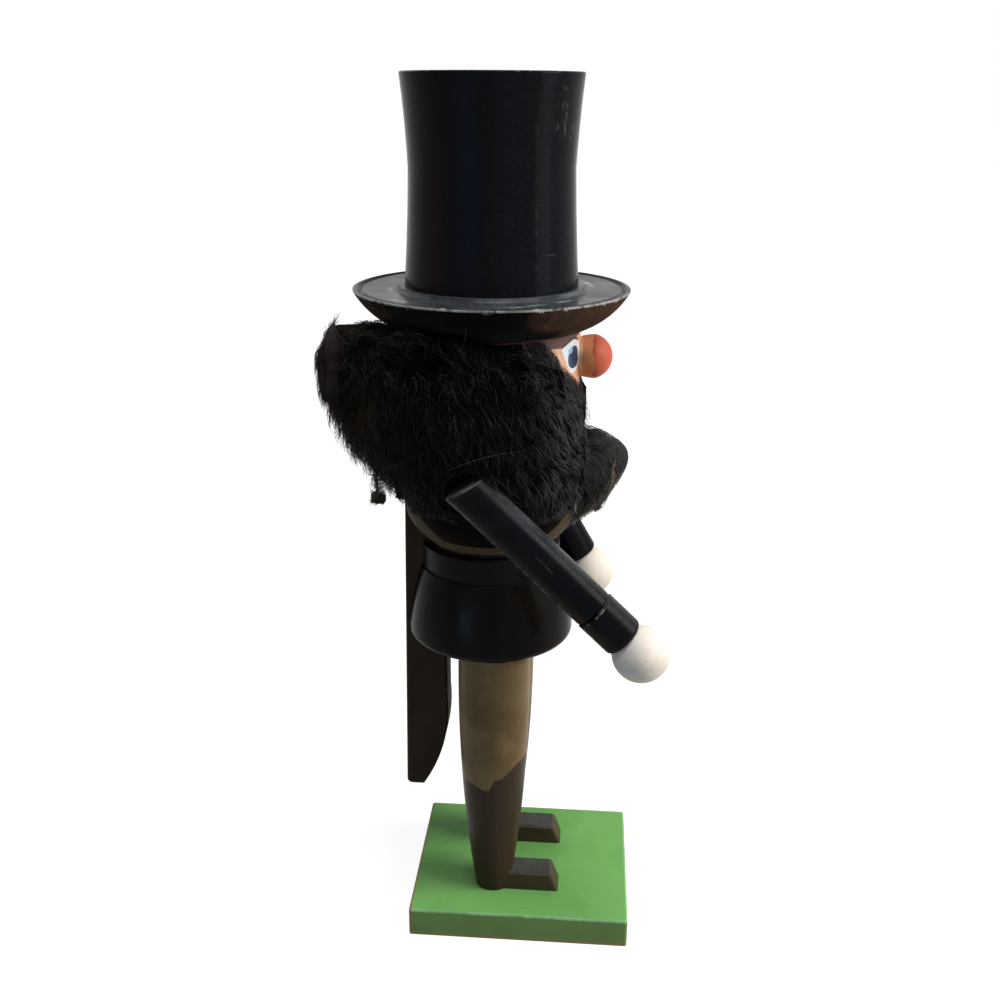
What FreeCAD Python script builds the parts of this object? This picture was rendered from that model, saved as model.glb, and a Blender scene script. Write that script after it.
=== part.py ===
import FreeCAD, Part
import math
import os
import Sketcher

# A wooden nutcracker figure, in millimetres. +Z is up and the figure faces -Y, so its left hand is at +X.
# The origin lies on the underside of the base, below the axis on which the body was turned.
# Body, head, hat, legs, arms and nose are turned pieces on dowels. The jaw and the tail are one lever that
# turns on a pin across the chest: the tail pulled back lowers the jaw. Hair and beard are plain soft solids.

SIZES = {
    # base and feet
    "base_width": 86.3,
    "base_length": 101.5,
    "base_thickness": 14.2,
    "base_shift_front": 16.3,
    "base_edge_round": 1.4,
    "base_floor_wall": 4.2,
    "shoe_width": 12.6,
    "shoe_height": 9.4,
    "shoe_front": 31.3,
    "shoe_front_slope": 3.6,
    "shoe_edge_bevel": 0.9,
    # legs
    "leg_spread": 18.6,
    "leg_forward": 3.1,
    "leg_length": 124.8,
    "leg_foot_radius": 8.3,
    "leg_thigh_radius": 15.9,
    "leg_bulge_radius": 745.0,
    # turned body
    "skirt_height": 34.5,
    "skirt_radius": 37.2,
    "skirt_full_height": 6.0,
    "skirt_bottom_round": 4.0,
    "skirt_top_radius": 31.6,
    "skirt_curve_radius": 160.0,
    "belt_radius": 30.8,
    "belt_height": 11.0,
    "waist_radius": 28.0,
    "waist_height": 2.0,
    "chest_radius": 38.2,
    "chest_height": 60.5,
    "chest_curve_height": 18.5,
    "chest_curve_radius": 21.9,
    "head_radius": 37.5,
    "head_height": 33.0,
    # jaw lever and its slot
    "lever_thickness": 16.0,
    "slot_side_gap": 0.4,
    "slot_back_depth": 19.3,
    "slot_floor_height": 8.5,
    "lever_floor_gap": 2.0,
    "lever_rest_gap": 0.3,
    "mouth_gap": 7.0,
    "jaw_reach": 37.8,
    "jaw_height": 31.0,
    "jaw_chin_radius": 7.0,
    "lever_back_height": 20.0,
    "tail_top_reach": 37.0,
    "tail_end_reach": 39.4,
    "tail_length": 154.0,
    "tail_curve_height": 48.0,
    "tail_curve_radius": 75.0,
    "tail_tip_width": 8.0,
    "tail_tip_round": 2.4,
    "lever_edge_bevel": 0.7,
    "pivot_behind_axis": 3.0,
    "pivot_below_seam": 34.0,
    "pivot_pin_radius": 3.0,
    "pivot_running_gap": 0.05,
    "pivot_pin_inset": 1.0,
    "pivot_blind_wall": 16.0,
    # arms and hands
    "arm_radius": 8.9,
    "arm_length": 91.0,
    "arm_end_low": 3.9,
    "arm_end_high": 0.8,
    "arm_end_round": 1.0,
    "cuff_length": 17.5,
    "cuff_swell": 0.35,
    "cuff_end_round": 1.9,
    "cuff_groove_depth": 0.9,
    "cuff_groove_width": 1.8,
    "arm_dowel_inset": 9.0,
    "arm_right_angle": 44.0,
    "arm_left_angle": 60.0,
    "arm_right_drop": 30.3,
    "arm_left_drop": 17.8,
    "arm_right_behind": -0.5,
    "arm_left_behind": 1.5,
    "arm_body_gap": 0.1,
    "hand_radius": 12.15,
    "hand_flat": 9.7,
    # face
    "nose_root_radius": 8.3,
    "nose_radius": 9.3,
    "nose_length": 14.8,
    "nose_swell_height": 7.4,
    "nose_root_curve": 30.0,
    "nose_height_on_head": 20.7,
    "nose_seat_depth": 1.1,
    "nose_spigot_radius": 3.5,
    "nose_spigot_length": 10.0,
    # hat
    "brim_radius": 57.6,
    "brim_thickness": 17.3,
    "brim_rim_drop": 0.9,
    "brim_edge_height": 0.9,
    "brim_lip_width": 1.5,
    "brim_groove_width": 2.6,
    "brim_groove_depth": 1.3,
    "brim_dish_depth": 1.7,
    "brim_under_radius": 33.0,
    "crown_height": 82.7,
    "crown_foot_radius": 36.1,
    "crown_waist_radius": 33.9,
    "crown_waist_height": 47.0,
    "crown_top_radius": 36.8,
    "crown_lower_curve": 900.0,
    "crown_upper_curve": 470.0,
    "crown_ring_width": 2.4,
    "crown_cove_radius": 3.4,
    "crown_edge_round": 0.7,
    # dowels
    "dowel_radius": 4.0,
    "dowel_length": 20.0,
    "dowel_end_gap": 0.5,
    "glue_gap": 0.05,
    "body_dowel_spread": 19.0,
    "neck_dowel_forward": 8.0,
    "hat_dowel_radius": 6.0,
    "hat_dowel_in_head": 14.0,
    "hat_dowel_in_crown": 15.0,
    "hand_dowel_radius": 3.0,
    "hand_dowel_length": 18.0,
    # hair, level by level: height below the seam or above it, and reach to the back, the front and the sides
    "hair_foot_height": -42.0,
    "hair_foot_back": 40.0,
    "hair_foot_front": 40.5,
    "hair_foot_side": 43.0,
    "hair_nape_height": -31.0,
    "hair_nape_back": 53.0,
    "hair_nape_front": 46.0,
    "hair_nape_side": 48.0,
    "hair_ear_height": -18.0,
    "hair_ear_back": 65.0,
    "hair_ear_front": 47.0,
    "hair_ear_side": 51.0,
    "hair_temple_height": 8.0,
    "hair_temple_back": 74.5,
    "hair_temple_front": 46.0,
    "hair_temple_side": 51.5,
    "hair_brow_height": 24.0,
    "hair_brow_back": 73.5,
    "hair_brow_front": 35.5,
    "hair_brow_side": 48.0,
    "hair_top_height": 32.6,
    "hair_top_back": 68.5,
    "hair_top_front": 31.0,
    "hair_top_side": 48.5,
    "hair_crest_height": 38.5,
    "hair_crest_back": 60.0,
    "hair_crest_front": 31.0,
    "hair_crest_side": 50.0,
    "hair_lid_height": 28.0,
    "hair_lid_half_width": 31.5,
    "hair_eye_height": 19.0,
    "hair_face_half_width": 24.0,
    "hair_mouth_half_width": 19.0,
    "hair_mouth_height": 3.0,
    "hair_cheek_height": 12.0,
    "hair_lever_reach": 46.5,
    "hair_lever_gap": 1.2,
    "fur_gap": 0.4,
    "fur_arm_gap": 0.7,
    # beard, level by level: height below the seam, set-back from the jaw's front, reach and half width
    "beard_chin_height": -12.5,
    "beard_chin_back": 0.9,
    "beard_chin_front": 7.0,
    "beard_chin_side": 12.0,
    "beard_tip_height": -23.5,
    "beard_tip_back": 1.3,
    "beard_tip_front": 21.4,
    "beard_tip_side": 17.0,
    "beard_curl_height": -33.5,
    "beard_curl_back": 4.2,
    "beard_curl_front": 17.6,
    "beard_curl_side": 16.0,
    "beard_end_height": -45.5,
    "beard_end_back": 8.4,
    "beard_end_front": 11.4,
    "beard_end_side": 9.0,
}

DOCUMENT = FreeCAD.newDocument("Nutcracker")
SHEET = DOCUMENT.addObject("Spreadsheet::Sheet", "Sizes")
for row, (alias, value) in enumerate(SIZES.items(), start=1):
    SHEET.set(f"B{row}", str(value))
    SHEET.setAlias(f"B{row}", alias)
DOCUMENT.recompute()

SUBPARTS = []
ORIGIN = FreeCAD.Vector(0, 0, 0)
X_AXIS = FreeCAD.Vector(1, 0, 0)
Y_AXIS = FreeCAD.Vector(0, 1, 0)
Z_AXIS = FreeCAD.Vector(0, 0, 1)
OUTWARD = -1
INWARD = 1
SIDES = (("right", "- 1"), ("left", "1"))

# Heights at which the turned pieces meet
LEG_TOP = "( base_thickness + leg_length )"
SKIRT_BLOCK_HEIGHT = "( skirt_height + belt_height + waist_height )"
WAIST = f"( {LEG_TOP} + {SKIRT_BLOCK_HEIGHT} )"
SEAM = f"( {WAIST} + chest_height )"
HAT_SEAT = f"( {SEAM} + head_height )"
CROWN_SEAT = f"( {HAT_SEAT} + brim_thickness )"

# Sizes that more than one piece shares
PIVOT_HEIGHT = f"( {SEAM} - pivot_below_seam )"
SLOT_WIDTH = "( lever_thickness + 2 * slot_side_gap )"
ARM_OFFSET = "( chest_radius + arm_radius + arm_body_gap )"
SHOULDER_DROP = {"right": "arm_right_drop", "left": "arm_left_drop"}
SHOULDER_BEHIND = {"right": "arm_right_behind", "left": "arm_left_behind"}
ARM_ANGLE = {"right": "arm_right_angle", "left": "arm_left_angle"}
DOWEL_HOLE = "( dowel_radius + glue_gap )"
DOWEL_DEPTH = "( dowel_length / 2 + dowel_end_gap )"
HAT_HOLE = "( hat_dowel_radius + glue_gap )"
HAND_HOLE = "( hand_dowel_radius + glue_gap )"
HAND_DOWEL_DEPTH = "( hand_dowel_length / 2 + dowel_end_gap )"
NOSE_SEAT = "( head_radius - nose_seat_depth )"
NOSE_HEIGHT = f"( {SEAM} + nose_height_on_head )"


def spaced(words):
    return words.replace("(", "( ").replace(")", " )").split()


def size(words):
    """Puts the sheet's name before each alias in an expression."""
    return " ".join(f"Sizes.{word}" if word in SIZES else word for word in spaced(words))


def number(words):
    """The present value of an expression on the sheet's aliases."""
    return float(SHEET.evalExpression(" ".join(spaced(words))))


def keep(subpart, name):
    """Labels an object as a finished sub-part."""
    subpart.Label = name
    SUBPARTS.append(subpart)
    return subpart


def place(subpart, x="0", y="0", z="0", axis=None, angle=None):
    """Binds an object's Placement to the sheet."""
    if axis is not None:
        subpart.Placement = FreeCAD.Placement(ORIGIN, FreeCAD.Rotation(axis, number(angle)))
        subpart.setExpression("Placement.Rotation.Angle", size(angle))
    for letter, words in (("x", x), ("y", y), ("z", z)):
        subpart.setExpression(f"Placement.Base.{letter}", size(words))


def sketch_on(body, name, role, offset=None):
    """A sketch on one of the body's own origin planes, moved along the plane's normal if offset is given."""
    sketch = body.newObject("Sketcher::SketchObject", name)
    plane = [feature for feature in body.Origin.OriginFeatures if feature.Role == role][0]
    sketch.AttachmentSupport = [(plane, "")]
    sketch.MapMode = "FlatFace"
    if offset is not None:
        sketch.setExpression("AttachmentOffset.Base.z", size(offset))
    return sketch


def lock_point(sketch, geometry, end, x, y, tag):
    """Ties one end of a line or arc, or the centre of a circle, to two expressions."""
    for words, kind, axis, letter in ((x, "DistanceX", -2, "x"), (y, "DistanceY", -1, "y")):
        if words == "0":
            sketch.addConstraint(Sketcher.Constraint("PointOnObject", geometry, end, axis))
            continue
        index = sketch.addConstraint(Sketcher.Constraint(kind, -1, 1, geometry, end, number(words)))
        sketch.renameConstraint(index, f"{tag}_{letter}")
        sketch.setExpression(f"Constraints.{tag}_{letter}", size(words))


def lock_radius(sketch, geometry, radius, tag):
    index = sketch.addConstraint(Sketcher.Constraint("Radius", geometry, number(radius)))
    sketch.renameConstraint(index, tag)
    sketch.setExpression(f"Constraints.{tag}", size(radius))


def arc_between(start, end, radius, side):
    """The short arc of a radius that bulges to the left (INWARD) or right (OUTWARD) of the way to its end."""
    chord = end - start
    half = chord.Length / 2
    rise = radius - math.sqrt(radius ** 2 - half ** 2)
    left = FreeCAD.Vector(-chord.y, chord.x, 0).normalize()
    return Part.Arc(start, start + chord * 0.5 + left * rise * side, end)


def outline(sketch, points, arcs=None):
    """Draws a closed outline of expression pairs. arcs gives (radius, side) by the number of the start point."""
    arcs = arcs or {}
    places = [FreeCAD.Vector(number(x), number(y), 0) for x, y in points]
    edges = []
    for index, start in enumerate(places):
        end = places[(index + 1) % len(places)]
        if index in arcs:
            radius, side = arcs[index]
            edge = sketch.addGeometry(arc_between(start, end, number(radius), side))
        else:
            edge = sketch.addGeometry(Part.LineSegment(start, end))
        runs_on = sketch.getPoint(edge, 1).distanceToPoint(start) < sketch.getPoint(edge, 2).distanceToPoint(start)
        edges.append((edge, 1, 2) if runs_on else (edge, 2, 1))
    for index, (edge, first, last) in enumerate(edges):
        after, after_first, _ = edges[(index + 1) % len(edges)]
        sketch.addConstraint(Sketcher.Constraint("Coincident", edge, last, after, after_first))
        lock_point(sketch, edge, first, points[index][0], points[index][1], f"p{index}")
        if index in arcs:
            lock_radius(sketch, edge, arcs[index][0], f"r{index}")
    return sketch


def turned(name, points, arcs=None):
    """A body turned about its own Z axis from an outline of (radius, height) points."""
    body = DOCUMENT.addObject("PartDesign::Body", name)
    profile = outline(sketch_on(body, f"{name}_profile", "XZ_Plane"), points, arcs)
    turning = body.newObject("PartDesign::Revolution", f"{name}_turning")
    turning.Profile = profile
    turning.ReferenceAxis = (profile, ["V_Axis"])
    turning.Angle = 360.0
    DOCUMENT.recompute()
    return body


def padded(name, role, points, thickness, arcs=None, symmetric=True):
    """A body made from an outline of even thickness."""
    body = DOCUMENT.addObject("PartDesign::Body", name)
    pad = body.newObject("PartDesign::Pad", f"{name}_pad")
    pad.Profile = outline(sketch_on(body, f"{name}_outline", role), points, arcs)
    if symmetric:
        pad.SideType = "Symmetric"
    pad.setExpression("Length", size(thickness))
    DOCUMENT.recompute()
    return body


def check_cut(body, feature, before):
    """Makes sure that a cut takes material away."""
    DOCUMENT.recompute()
    if not body.Shape.Volume < before - 1e-3:
        raise ValueError(f"{feature.Name} cuts nothing")


def cut_outline(body, name, role, points, width):
    """Cuts an outline evenly to both sides of one of the body's planes."""
    before = body.Shape.Volume
    pocket = body.newObject("PartDesign::Pocket", name)
    pocket.Profile = outline(sketch_on(body, f"{name}_outline", role), points)
    pocket.SideType = "Symmetric"
    pocket.setExpression("Length", size(width))
    check_cut(body, pocket, before)


def cut_round(body, name, points):
    """Cuts an outline of (radius, height) points turned about the body's Z axis."""
    before = body.Shape.Volume
    profile = outline(sketch_on(body, f"{name}_profile", "XZ_Plane"), points)
    groove = body.newObject("PartDesign::Groove", name)
    groove.Profile = profile
    groove.ReferenceAxis = (profile, ["V_Axis"])
    groove.Angle = 360.0
    check_cut(body, groove, before)


def drill(body, name, role, centre, radius, start, depth, along=False):
    """Drills a round hole from start, against the normal of the body's plane or along it."""
    before = body.Shape.Volume
    sketch = sketch_on(body, f"{name}_circle", role, start)
    x, y = centre
    circle = sketch.addGeometry(Part.Circle(FreeCAD.Vector(number(x), number(y), 0), Z_AXIS, number(radius)))
    lock_point(sketch, circle, 3, x, y, "centre")
    lock_radius(sketch, circle, radius, "radius")
    pocket = body.newObject("PartDesign::Pocket", name)
    pocket.Profile = sketch
    pocket.Reversed = along
    pocket.setExpression("Length", size(depth))
    check_cut(body, pocket, before)


def dress_edges(body, kind, name, amount, chosen):
    """Fillets or chamfers the edges of the body that pass a test."""
    base = body.Tip
    edges = [f"Edge{number}" for number, edge in enumerate(base.Shape.Edges, start=1) if chosen(edge)]
    if not edges:
        raise ValueError(f"{name} finds no edge")
    dressed = body.newObject(f"PartDesign::{kind}", name)
    dressed.Base = (base, edges)
    dressed.setExpression("Size" if kind == "Chamfer" else "Radius", size(amount))
    DOCUMENT.recompute()


def at_height(height):
    """A test for circles and level lines at one height."""
    level = number(height)
    return lambda edge: max(abs(edge.BoundBox.ZMin - level), abs(edge.BoundBox.ZMax - level)) < 0.01


def dowel(name, radius, length, x="0", y="0", z="0", axis=None, angle=None):
    """A plain round dowel with one end at the place given."""
    rod = DOCUMENT.addObject("Part::Cylinder", name)
    rod.setExpression("Radius", size(radius))
    rod.setExpression("Height", size(length))
    place(rod, x, y, z, axis, angle)
    return rod


def dowel_pair(name, members):
    """Two separate dowels of one kind in one sub-part."""
    pair = DOCUMENT.addObject("Part::Compound", name)
    pair.Links = members
    keep(pair, name)


def base_plinth():
    """The painted block that the figure stands on, with a hole for each ankle dowel."""
    right, left = "- base_width / 2", "base_width / 2"
    front, back = "- base_length / 2 - base_shift_front", "base_length / 2 - base_shift_front"
    corners = [(right, front), (left, front), (left, back), (right, back)]
    body = padded("base_plinth", "XY_Plane", corners, "base_thickness", symmetric=False)
    top = number("base_thickness")
    dress_edges(body, "Fillet", "base_edges", "base_edge_round", lambda edge: edge.BoundBox.ZMax > top - 0.01)
    for side, sign in SIDES:
        centre = (f"{sign} * leg_spread", "- leg_forward")
        depth = "base_thickness - base_floor_wall"
        drill(body, f"ankle_hole_{side}", "XY_Plane", centre, DOWEL_HOLE, "base_thickness", depth)
    keep(body, "base_plinth")


def shoe(side, sign):
    """A block with a sloped front and bevelled top edges, coved behind to fit round the leg."""
    name = f"shoe_{side}"
    points = [
        ("0", "0"),
        ("0", "shoe_height"),
        ("- shoe_front + shoe_front_slope", "shoe_height"),
        ("- shoe_front", "0"),
    ]
    body = padded(name, "YZ_Plane", points, "shoe_width")
    toe = number("- shoe_front")
    back = -0.01

    def on_upper(edge):
        box = edge.BoundBox
        return box.YMin < back and box.ZMax > 0.01 and (box.ZMin > 0.01 or box.YMin < toe + 0.01)

    dress_edges(body, "Chamfer", f"{name}_bevel", "shoe_edge_bevel", on_upper)
    taper = "( leg_thigh_radius - leg_foot_radius ) * shoe_height / leg_length"
    swell = "shoe_height * ( leg_length - shoe_height ) / ( 2 * leg_bulge_radius )"
    cove = [
        ("0", "0"),
        ("leg_foot_radius + glue_gap", "0"),
        (f"leg_foot_radius + {taper} + {swell} + glue_gap", "shoe_height"),
        ("0", "shoe_height"),
    ]
    cut_round(body, f"{name}_cove", cove)
    place(body, x=f"{sign} * leg_spread", y="- leg_forward", z="base_thickness")
    keep(body, name)


def leg(side, sign):
    """A turned leg with a long swelling outline and a dowel hole in each end."""
    name = f"leg_{side}"
    points = [
        ("0", DOWEL_DEPTH),
        (DOWEL_HOLE, DOWEL_DEPTH),
        (DOWEL_HOLE, "0"),
        ("leg_foot_radius", "0"),
        ("leg_thigh_radius", "leg_length"),
        (DOWEL_HOLE, "leg_length"),
        (DOWEL_HOLE, f"leg_length - {DOWEL_DEPTH}"),
        ("0", f"leg_length - {DOWEL_DEPTH}"),
    ]
    body = turned(name, points, {3: ("leg_bulge_radius", OUTWARD)})
    place(body, x=f"{sign} * leg_spread", y="- leg_forward", z="base_thickness")
    keep(body, name)


def skirt_block():
    """The flared coat skirt with the belt above it, slotted behind for the tail."""
    top = SKIRT_BLOCK_HEIGHT
    belt_top = "skirt_height + belt_height"
    points = [
        ("0", "0"),
        ("skirt_radius - skirt_bottom_round", "0"),
        ("skirt_radius", "skirt_bottom_round"),
        ("skirt_radius", "skirt_full_height"),
        ("skirt_top_radius", "skirt_height"),
        ("belt_radius", "skirt_height"),
        ("belt_radius", belt_top),
        ("waist_radius", belt_top),
        ("waist_radius", top),
        ("0", top),
    ]
    arcs = {1: ("skirt_bottom_round", OUTWARD), 3: ("skirt_curve_radius", OUTWARD)}
    body = turned("skirt_block", points, arcs)
    outside = "2 * skirt_radius"
    slot = [("slot_back_depth", "- 1"), (outside, "- 1"), (outside, f"{top} + 1"), ("slot_back_depth", f"{top} + 1")]
    cut_outline(body, "skirt_slot", "YZ_Plane", slot, SLOT_WIDTH)
    for side, sign in SIDES:
        hip = (f"{sign} * leg_spread", "- leg_forward")
        drill(body, f"hip_hole_{side}", "XY_Plane", hip, DOWEL_HOLE, "0", DOWEL_DEPTH, along=True)
        waist = (f"{sign} * body_dowel_spread", "0")
        drill(body, f"waist_hole_{side}", "XY_Plane", waist, DOWEL_HOLE, top, DOWEL_DEPTH)
    place(body, z=LEG_TOP)
    keep(body, "skirt_block")


def chest_blank(name):
    """The turned outline that the chest's three glued parts share."""
    points = [
        ("0", "0"),
        ("waist_radius", "0"),
        ("chest_radius", "chest_curve_height"),
        ("chest_radius", "chest_height"),
        ("0", "chest_height"),
    ]
    return turned(name, points, {1: ("chest_curve_radius", OUTWARD)})


def cut_beside(body, name, inner, outer):
    """Cuts away everything between two upright planes across the chest."""
    low, high = "- 1", "chest_height + 1"
    points = [(inner, low), (outer, low), (outer, high), (inner, high)]
    cut_outline(body, name, "XZ_Plane", points, "3 * chest_radius")


def chest_cheek(side, sign):
    """One side of the chest, with the lever's slot beside it and holes for the pin and the dowels.

    The pin hole runs right through the left cheek and is blind in the right one.
    """
    name = f"chest_{side}"
    body = chest_blank(name)
    cut_beside(body, f"{name}_inside", f"{sign} * {SLOT_WIDTH} / 2", f"- {sign} * 2 * chest_radius")
    pivot = ("pivot_behind_axis", "chest_height - pivot_below_seam")
    pin_depth = "2 * chest_radius - pivot_blind_wall + dowel_end_gap"
    drill(body, f"pivot_hole_{side}", "YZ_Plane", pivot, "pivot_pin_radius + glue_gap", "chest_radius", pin_depth)
    waist = (f"{sign} * body_dowel_spread", "0")
    drill(body, f"waist_hole_{side}", "XY_Plane", waist, DOWEL_HOLE, "0", DOWEL_DEPTH, along=True)
    neck = (f"{sign} * body_dowel_spread", "- neck_dowel_forward")
    drill(body, f"neck_hole_{side}", "XY_Plane", neck, DOWEL_HOLE, "chest_height", DOWEL_DEPTH)
    shoulder = (SHOULDER_BEHIND[side], f"chest_height - {SHOULDER_DROP[side]}")
    start = f"{sign} * chest_radius"
    drill(body, f"shoulder_hole_{side}", "YZ_Plane", shoulder, DOWEL_HOLE, start, DOWEL_DEPTH, side == "right")
    place(body, z=WAIST)
    keep(body, name)


def chest_core():
    """The floor of the slot, between the cheeks, which ends behind in line with the slot of the skirt."""
    body = chest_blank("chest_core")
    for side, sign in SIDES:
        face = f"{sign} * ( {SLOT_WIDTH} / 2 - glue_gap )"
        cut_beside(body, f"core_face_{side}", face, f"{sign} * 2 * chest_radius")
    outside = "2 * chest_radius"
    slot = [
        (f"- {outside}", "slot_floor_height"),
        ("slot_back_depth", "slot_floor_height"),
        ("slot_back_depth", "- 1"),
        (outside, "- 1"),
        (outside, "chest_height + 1"),
        (f"- {outside}", "chest_height + 1"),
    ]
    cut_outline(body, "lever_slot", "YZ_Plane", slot, SLOT_WIDTH)
    place(body, z=WAIST)
    keep(body, "chest_core")


def head_block():
    """The turned head. Its flat underside is the roof of the mouth, and a shallow seat holds the nose."""
    hole_bottom = "head_height - hat_dowel_in_head - dowel_end_gap"
    points = [
        ("0", "0"),
        ("head_radius", "0"),
        ("head_radius", "head_height"),
        (HAT_HOLE, "head_height"),
        (HAT_HOLE, hole_bottom),
        ("0", hole_bottom),
    ]
    body = turned("head_block", points)
    for side, sign in SIDES:
        neck = (f"{sign} * body_dowel_spread", "- neck_dowel_forward")
        drill(body, f"neck_hole_{side}", "XY_Plane", neck, DOWEL_HOLE, "0", DOWEL_DEPTH, along=True)
    centre = ("0", "nose_height_on_head")
    seat = "nose_root_radius + glue_gap"
    drill(body, "nose_seat", "XZ_Plane", centre, seat, "head_radius", "nose_seat_depth")
    spigot = "nose_spigot_radius + glue_gap"
    spigot_depth = "nose_seat_depth + nose_spigot_length + dowel_end_gap"
    drill(body, "spigot_hole", "XZ_Plane", centre, spigot, "head_radius", spigot_depth)
    place(body, z=SEAM)
    keep(body, "head_block")


def jaw_lever():
    """Jaw and tail in one piece, drawn about its pivot.

    The jaw fills the front of the slot up to the mouth, and the tail runs down the back of the figure,
    narrows in a long curve and ends in a flat tip. At rest it lies just off the slot's back wall.
    """
    front = "- jaw_reach - pivot_behind_axis"
    jaw_top = "pivot_below_seam - mouth_gap"
    chin = f"{jaw_top} - jaw_height"
    web = "slot_floor_height - chest_height + pivot_below_seam + lever_floor_gap"
    inner = "slot_back_depth + lever_rest_gap - pivot_behind_axis"
    tip = "tail_end_reach - pivot_behind_axis"
    points = [
        (front, jaw_top),
        (front, f"{chin} + jaw_chin_radius"),
        (f"{front} + jaw_chin_radius", chin),
        ("0", web),
        (inner, web),
        (inner, "tail_curve_height - tail_length"),
        (f"{tip} - tail_tip_width", "- tail_length"),
        (tip, "- tail_length"),
        ("tail_top_reach - pivot_behind_axis", "lever_back_height"),
        ("0", jaw_top),
    ]
    arcs = {1: ("jaw_chin_radius", OUTWARD), 5: ("tail_curve_radius", OUTWARD)}
    body = padded("jaw_lever", "YZ_Plane", points, "lever_thickness", arcs)
    tip_y, tip_z = number(tip), number("- tail_length")

    def at_tip(edge):
        middle = edge.BoundBox.Center
        return edge.BoundBox.XLength > 1 and math.hypot(middle.y - tip_y, middle.z - tip_z) < 0.01

    dress_edges(body, "Fillet", "tail_tip_corner", "tail_tip_round", at_tip)
    half = number("lever_thickness / 2")

    def on_side(edge):
        box = edge.BoundBox
        return box.XLength < 0.01 and abs(abs(box.XMin) - half) < 0.01

    dress_edges(body, "Chamfer", "lever_bevels", "lever_edge_bevel", on_side)
    hole = "pivot_pin_radius + pivot_running_gap"
    drill(body, "pin_hole", "YZ_Plane", ("0", "0"), hole, "lever_thickness", "2 * lever_thickness")
    place(body, y="pivot_behind_axis", z=PIVOT_HEIGHT)
    keep(body, "jaw_lever")


def pivot_pin():
    """The pin that the lever turns on, driven in from the left side and blind on the right."""
    start = "- chest_radius + pivot_blind_wall"
    length = "2 * chest_radius - pivot_blind_wall - pivot_pin_inset"
    pin = dowel("pivot_pin", "pivot_pin_radius", length, start, "pivot_behind_axis", PIVOT_HEIGHT, Y_AXIS, "90")
    keep(pin, "pivot_pin")


def along_arm(side, distance):
    """The point on an arm's axis at a distance from its shoulder end, as expressions."""
    angle = f"{ARM_ANGLE[side]} * 1 deg"
    y = f"{SHOULDER_BEHIND[side]} + ( arm_dowel_inset - {distance} ) * cos( {angle} )"
    z = f"{SEAM} - {SHOULDER_DROP[side]} + ( arm_dowel_inset - {distance} ) * sin( {angle} )"
    return y, z


def arm(side, sign):
    """A turned arm with a cuff, its shoulder dowel hole across it and its hand dowel hole in its end."""
    name = f"arm_{side}"
    cuff = "arm_length - cuff_length"
    hole_end = f"arm_length - {HAND_DOWEL_DEPTH}"
    rise = "( arm_end_low + arm_end_high ) / 2"
    blank = f"- 2 * {rise} - arm_end_low"
    points = [
        ("0", blank),
        ("arm_radius", blank),
        ("arm_radius", f"{cuff} - cuff_groove_width"),
        ("arm_radius - cuff_groove_depth", f"{cuff} - cuff_groove_width / 2"),
        ("arm_radius + cuff_swell", cuff),
        ("arm_radius + cuff_swell", "arm_length"),
        (HAND_HOLE, "arm_length"),
        (HAND_HOLE, hole_end),
        ("0", hole_end),
    ]
    body = turned(name, points)
    wide = "2 * arm_radius"
    waste = [
        (f"- {wide}", f"- arm_end_low - {rise}"),
        (wide, f"arm_end_high + {rise}"),
        (wide, f"{blank} - 1"),
        (f"- {wide}", f"{blank} - 1"),
    ]
    cut_outline(body, f"{name}_slant", "YZ_Plane", waste, wide + " + 2")
    high = number("arm_end_high") + 0.01
    dress_edges(body, "Fillet", f"{name}_shoulder_edge", "arm_end_round", lambda edge: edge.BoundBox.ZMax < high)
    inner = number("arm_radius")

    def at_cuff_end(edge):
        return at_height("arm_length")(edge) and edge.BoundBox.XMax > inner

    dress_edges(body, "Fillet", f"{name}_cuff_edge", "cuff_end_round", at_cuff_end)
    start = f"- {sign} * arm_radius"
    centre = ("0", "arm_dowel_inset")
    drill(body, f"{name}_dowel_hole", "YZ_Plane", centre, DOWEL_HOLE, start, DOWEL_DEPTH, side == "left")
    y, z = along_arm(side, "0")
    place(body, f"{sign} * {ARM_OFFSET}", y, z, X_AXIS, f"90 + {ARM_ANGLE[side]}")
    keep(body, name)


def hand(side, sign):
    """A wooden ball with a flat towards the cuff."""
    name = f"hand_{side}"
    points = [
        (HAND_HOLE, "0"),
        ("sqrt( hand_radius ^ 2 - hand_flat ^ 2 )", "0"),
        ("0", "hand_flat + hand_radius"),
        ("0", HAND_DOWEL_DEPTH),
        (HAND_HOLE, HAND_DOWEL_DEPTH),
    ]
    body = turned(name, points, {1: ("hand_radius", OUTWARD)})
    y, z = along_arm(side, "arm_length")
    place(body, f"{sign} * {ARM_OFFSET}", y, z, X_AXIS, f"90 + {ARM_ANGLE[side]}")
    keep(body, name)


def nose():
    """A turned knob, narrower at its root, with a spigot that goes into the head."""
    points = [
        ("0", "- nose_spigot_length"),
        ("nose_spigot_radius", "- nose_spigot_length"),
        ("nose_spigot_radius", "0"),
        ("nose_root_radius", "0"),
        ("nose_root_radius", "nose_seat_depth"),
        ("nose_radius", "nose_swell_height"),
        ("0", "nose_length"),
    ]
    cap = "( nose_length - nose_swell_height )"
    front = f"( nose_radius ^ 2 + {cap} ^ 2 ) / ( 2 * {cap} )"
    body = turned("nose", points, {4: ("nose_root_curve", OUTWARD), 5: (front, OUTWARD)})
    place(body, y=f"- {NOSE_SEAT}", z=NOSE_HEIGHT, axis=X_AXIS, angle="90")
    keep(body, "nose")


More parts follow.
